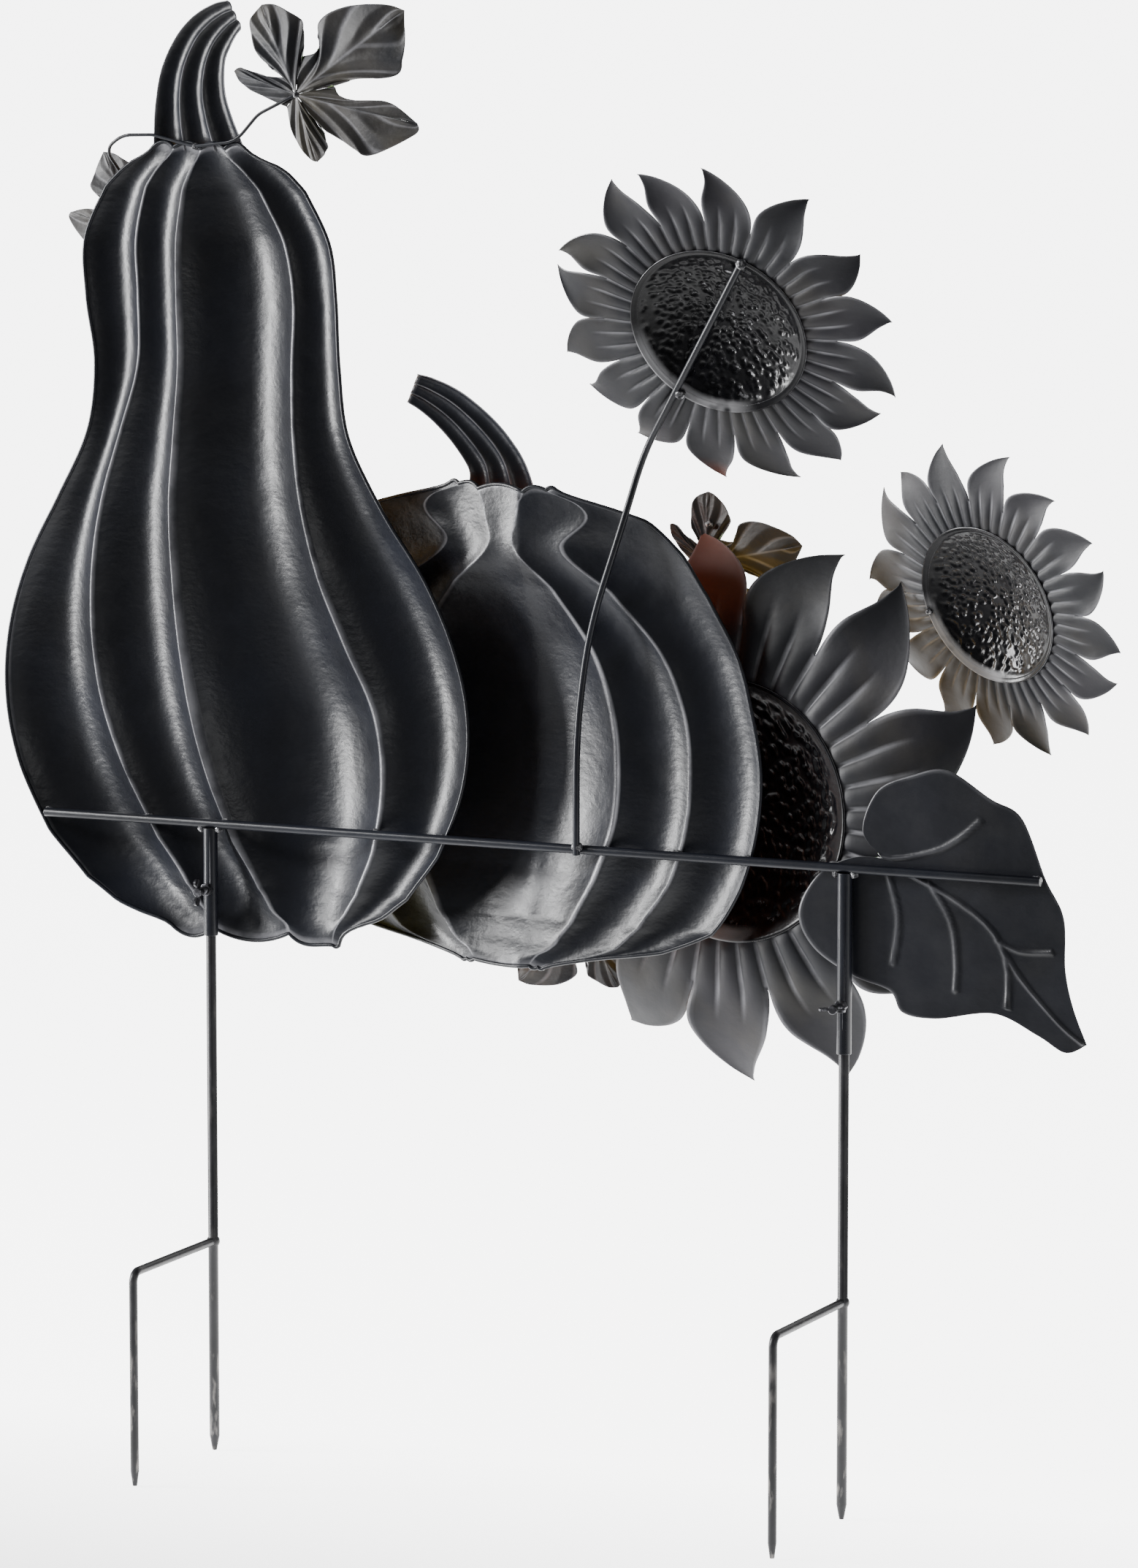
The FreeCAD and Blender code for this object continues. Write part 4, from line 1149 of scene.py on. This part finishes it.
class Foliage(Part):
    """The leaves."""

    VINE = [
        [(-11, 14), (-37, 32), (-47, 60), (-35, 77), (-22, 77), (0, 67), (7, 56), (5, 33)],
        [(5, 33), (21, 39), (20, 62), (44, 76), (81, 79), (101, 74), (101, 35), (93, 18), (56, 14),
         (35, 8)],
        [(35, 8), (48, -3), (87, -5), (114, -23), (111, -33), (71, -51), (56, -47), (34, -34),
         (23, -28)],
        [(23, -28), (29, -41), (27, -50), (19, -58), (11, -55), (-3, -37), (-10, -11)],
        [(-10, -11), (-39, 0), (-55, 9), (-62, 19), (-55, 22), (-33, 16), (-11, 14)]]
    BROAD = [[(0, 0), (-19, 22), (-6, 57), (25, 72), (58, 78), (97, 56), (125, 41), (146, -8),
              (163, -41), (165, -86), (172, -118), (184, -148), (165, -156), (140, -143),
              (101, -127), (49, -135), (18, -132), (6, -114), (-29, -103), (-65, -81), (-78, -51),
              (-60, -18), (-30, -2), (0, 0)]]
    BROAD_RIB = [(0, 0), (54, -26), (101, -60), (140, -108), (184, -148)]
    BROAD_VEINS = [
        [(-16, 6), (8, 0), (45, 8), (68, 20), (88, 37)], [(4, -12), (14, -50), (9, -90)],
        [(42, -19), (62, -50), (67, -85), (66, -110)],
        [(18, -10), (50, -24), (80, -40), (102, -59), (113, -85), (113, -121)],
        [(102, -59), (125, -95), (160, -132), (180, -147)], [(104, -64), (125, -72), (153, -71)]]

    def build(self) -> None:
        """Every leaf in turn."""
        pleated = LeafRelief(3.0, 1.9 * MM, 2.4 * MM, 7 * MM)
        small = LeafRelief(3.0, 1.4 * MM, 1.8 * MM, 5 * MM)
        embossed = LeafRelief(0.0, 2.2 * MM, 0.0, 5 * MM)
        leaves = [
            Leaf("gourd_right_leaf", self.VINE, pleated, seed=1),
            Leaf("gourd_left_leaf", self.VINE, small, 0.65, -24, True, seed=2),
            Leaf("large_sunflower_leaf", self.VINE, small, 0.72, -25, seed=3),
            Leaf("pumpkin_leaf", self.VINE, small, 0.72, 182, seed=4),
            Leaf("broad_leaf", self.BROAD, embossed, midrib=self.BROAD_RIB, veins=self.BROAD_VEINS,
                 seed=5, across=56, along=170)]
        for leaf in leaves:
            self.seat(leaf.build(), "leaf_enamel", leaf.node)


# Bar, sockets, screws, stakes, welds

class Ironwork(Part):
    """Bar, sockets, clamp nuts, wing screws, stakes and wires: CAD shapes with worked edges.

    Edges sharper than sharp are shaded hard, and those sharper than bevelled are rounded; degrees.
    """

    sharp = 32
    bevelled = 40

    def worked(self, node: str, finish: object, slot: str, round_off: float,
               body: str | None = None) -> None:
        """Smooth copy of a CAD node with rounded corners.

        Args:
            node: The CAD node.
            finish: Its finish.
            slot: Its material slot.
            round_off: How much each corner is rounded.
            body: The body it rides on, if not the display.
        """
        made = to_object(node_mesh(self.nodes[node]), node + "_worked", finish)
        made.data.set_sharp_from_angle(angle=math.radians(self.sharp))
        corner = made.modifiers.new("corner", "BEVEL")
        corner.width = round_off
        corner.segments = 3
        corner.limit_method = "ANGLE"
        corner.angle_limit = math.radians(self.bevelled)
        self.seat(made, slot, node, body=body)

    def thread(self, side: str) -> None:
        """Thread wound on the part of a wing screw that stands out of its nut."""
        low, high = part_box(side + "_wing_screw")
        nut_low, nut_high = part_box(side + "_clamp_nut")
        middle_x, middle_z = (nut_low.x + nut_high.x) / 2, (nut_low.z + nut_high.z) / 2
        pitch, root, tip = 1.0 * MM, 2.85 * MM, 3.35 * MM
        boss_length, clear, sunk = 7 * MM, 1.0 * MM, 0.3 * MM
        shown = nut_low.y - low.y - boss_length - clear
        turns = int(shown / pitch)
        bm = bmesh.new()
        ridge = ((root, 0), (tip, 0.38), (tip, 0.52), (root, 0.9))
        corners = [bm.verts.new((radius, 0, share * pitch)) for radius, share in ridge]
        edges = [bm.edges.new((a, b)) for a, b in zip(corners, corners[1:] + corners[:1])]
        steps = 28
        bmesh.ops.spin(bm, geom=corners + edges, cent=(0, 0, 0), axis=(0, 0, 1),
                       angle=2 * math.pi * turns, steps=steps * turns,
                       dvec=(0, 0, pitch / steps), use_merge=False)
        bmesh.ops.holes_fill(bm, edges=bm.edges, sides=4)
        bmesh.ops.recalc_face_normals(bm, faces=bm.faces)
        backwards = Matrix.Rotation(math.radians(90), 4, "X")
        start = Vector((middle_x, nut_low.y - sunk, middle_z))
        bmesh.ops.transform(bm, matrix=Matrix.Translation(start) @ backwards, verts=bm.verts)
        made = to_object(bm, side + "_screw_thread", ZINC)
        self.seat(made, "screw_black_zinc", body=side + "_screw")

    def build(self) -> None:
        """Every metal rod, tube and fastener."""
        self.worked("cross_bar", BAR_ENAMEL, "rear_black_enamel", 1.0 * MM)
        self.worked("upper_sunflower_stem", BAR_ENAMEL, "wire_black", 0.8 * MM)
        self.worked("vine_wire", BAR_ENAMEL, "wire_black", 0.4 * MM)
        stake = StakePaint("stake_powder_coat")
        for side in ("left", "right"):
            self.worked(side + "_socket_tube", BAR_ENAMEL, "rear_black_enamel", 0.4 * MM)
            self.worked(side + "_clamp_nut", ZINC, "screw_black_zinc", 0.5 * MM)
            self.worked(side + "_wing_screw", ZINC, "screw_black_zinc", 0.6 * MM, side + "_screw")
            self.thread(side)
            self.worked(side + "_stake_rod", stake, "stake_black", 0.9 * MM, side + "_stake")
            self.worked(side + "_stake_step", stake, "stake_black", 0.8 * MM, side + "_stake")


class Welds(Part):
    """Weld beads: lumpy drops over each CAD bead, every group one piece."""

    GROUPS = ["bar_weld_beads", "tube_weld_beads", "stem_weld_beads", "vine_weld_beads",
              "petal_weld_beads"]

    def drops(self, node: str) -> list[tuple[Vector, float]]:
        """Centre and radius of every separate bead of a CAD node."""
        bm = node_mesh(self.nodes[node])
        left, found = set(bm.verts), []
        while left:
            bead = connected(next(iter(left)))
            left -= bead
            low, high = extent(vert.co for vert in bead)
            found.append(((low + high) / 2, (high.z - low.z) / 2))
        bm.free()
        return sorted(found, key=lambda drop: tuple(drop[0]))

    def build(self) -> None:
        """One piece for each group."""
        dice = random.Random(5)
        for node in self.GROUPS:
            bm = bmesh.new()
            for centre, radius in self.drops(node):
                grown = bmesh.ops.create_icosphere(bm, subdivisions=4, radius=radius)["verts"]
                stretch = Vector((dice.uniform(1.0, 1.35), 1.0, dice.uniform(0.85, 1.1)))
                offset = dice.uniform(0, 50)
                for vert in grown:
                    lump = 1 + 0.22 * noise.noise(vert.co / radius * 1.6 + Vector((offset, 0, 0)))
                    lump += 0.06 * noise.noise(vert.co / radius * 5 + Vector((0, offset, 0)))
                    vert.co = centre + vert.co * stretch * lump
            made = to_object(bm, node.replace("_beads", "_drops"), WELD)
            self.seat(made, "weld_black", node)


# Studio

@dataclass
class SoftBox:
    """Studio light aimed at a point."""

    name: str
    spot: Vector
    wide: float
    tall: float
    power: float
    aim: Vector

    def build(self) -> None:
        """Hang the light."""
        lamp = bpy.data.lights.new(self.name, "AREA")
        lamp.shape = "RECTANGLE"
        lamp.size = self.wide
        lamp.size_y = self.tall
        lamp.energy = self.power
        holder = linked(self.name, lamp)
        holder.location = self.spot
        holder.rotation_euler = (self.aim - self.spot).to_track_quat("-Z", "Y").to_euler()


@dataclass
class Studio:
    """Pale floor that glows in front of the display, soft light all round and the camera behind and
    right of the display.
    """

    azimuth: float = 25.0
    elevation: float = 8.2
    distance: float = 6.3
    lens: float = 167.8
    target: Vector = field(default_factory=lambda: Vector((0.3496, 0.0, 0.4324)))
    sky: float = 0.35
    # Emission strength of the glowing floor.
    floor_glow: float = 6.0

    def camera(self) -> None:
        """Long lens from the back, a little to the right and above."""
        around, up = math.radians(self.azimuth), math.radians(self.elevation)
        away = Vector((math.sin(around) * math.cos(up), -math.cos(around) * math.cos(up),
                       math.sin(up)))
        lens = bpy.data.cameras.new("camera")
        lens.lens = self.lens
        lens.clip_end = 200.0
        holder = linked("camera", lens)
        holder.location = self.target + away * self.distance
        holder.rotation_euler = (-away).to_track_quat("-Z", "Y").to_euler()
        bpy.context.scene.camera = holder

    def floor(self) -> None:
        """Round floor at the spikes' ends, glowing white in front of the display and dark behind
        it.
        """
        wide, gap = 70.0, 1 * MM
        bm = bmesh.new()
        bmesh.ops.create_circle(bm, cap_ends=True, segments=96, radius=wide)
        bmesh.ops.translate(bm, vec=(0, 0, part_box("left_stake_rod")[0].z - gap), verts=bm.verts)
        made = to_object(bm, "studio_floor")
        g = Graph("floor_paper")
        # The floor glows: emission ramps from none a metre behind the display to full just in
        # front, for a white backdrop and light from below.
        ahead = g.node("ShaderNodeSeparateXYZ", inputs={0: g.place()}, output="Y")
        glow = g.ramp(g.step(ahead, -1.0, 1.0), (0.0, (0.0, 0.0, 0.0)), (0.55, (1.0, 1.0, 1.0)))
        made.data.materials.append(g.done(Base_Color=(0.3, 0.3, 0.3), Roughness=1.0,
                                          Specular_IOR_Level=0.0, Emission_Color=glow,
                                          Emission_Strength=self.floor_glow))

    def build(self) -> None:
        """Floor, sky, lamps and camera."""
        self.floor()
        world = bpy.data.worlds.new("studio_sky")
        world.use_nodes = True
        sky = world.node_tree.nodes["Background"]
        sky.inputs["Color"].default_value = (1.0, 1.0, 1.0, 1.0)
        sky.inputs["Strength"].default_value = self.sky
        bpy.context.scene.world = world
        for lamp in (SoftBox("strip", Vector((-2.85, -1.25, 0.8)), 0.5, 1.8, 420.0, self.target),
                     SoftBox("key", Vector((-3.1, -2.6, 2.8)), 1.3, 1.3, 330.0, self.target),
                     SoftBox("side", Vector((3.6, -1.6, 1.6)), 0.5, 1.4, 25.0, self.target),
                     SoftBox("front", Vector((0.8, 4.2, 2.6)), 2.2, 2.2, 45.0, self.target)):
            lamp.build()
        self.camera()


def main() -> None:
    """Build every sub-assembly around the frame, then the studio."""
    logging.basicConfig(level=logging.INFO, format="%(message)s")
    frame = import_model()
    for part in (Ironwork(frame), Gourds(frame), Sunflowers(frame), Foliage(frame), Welds(frame)):
        log.info("building %s", type(part).__name__)
        part.build()
    Studio().build()


if __name__ == "__main__":
    main()
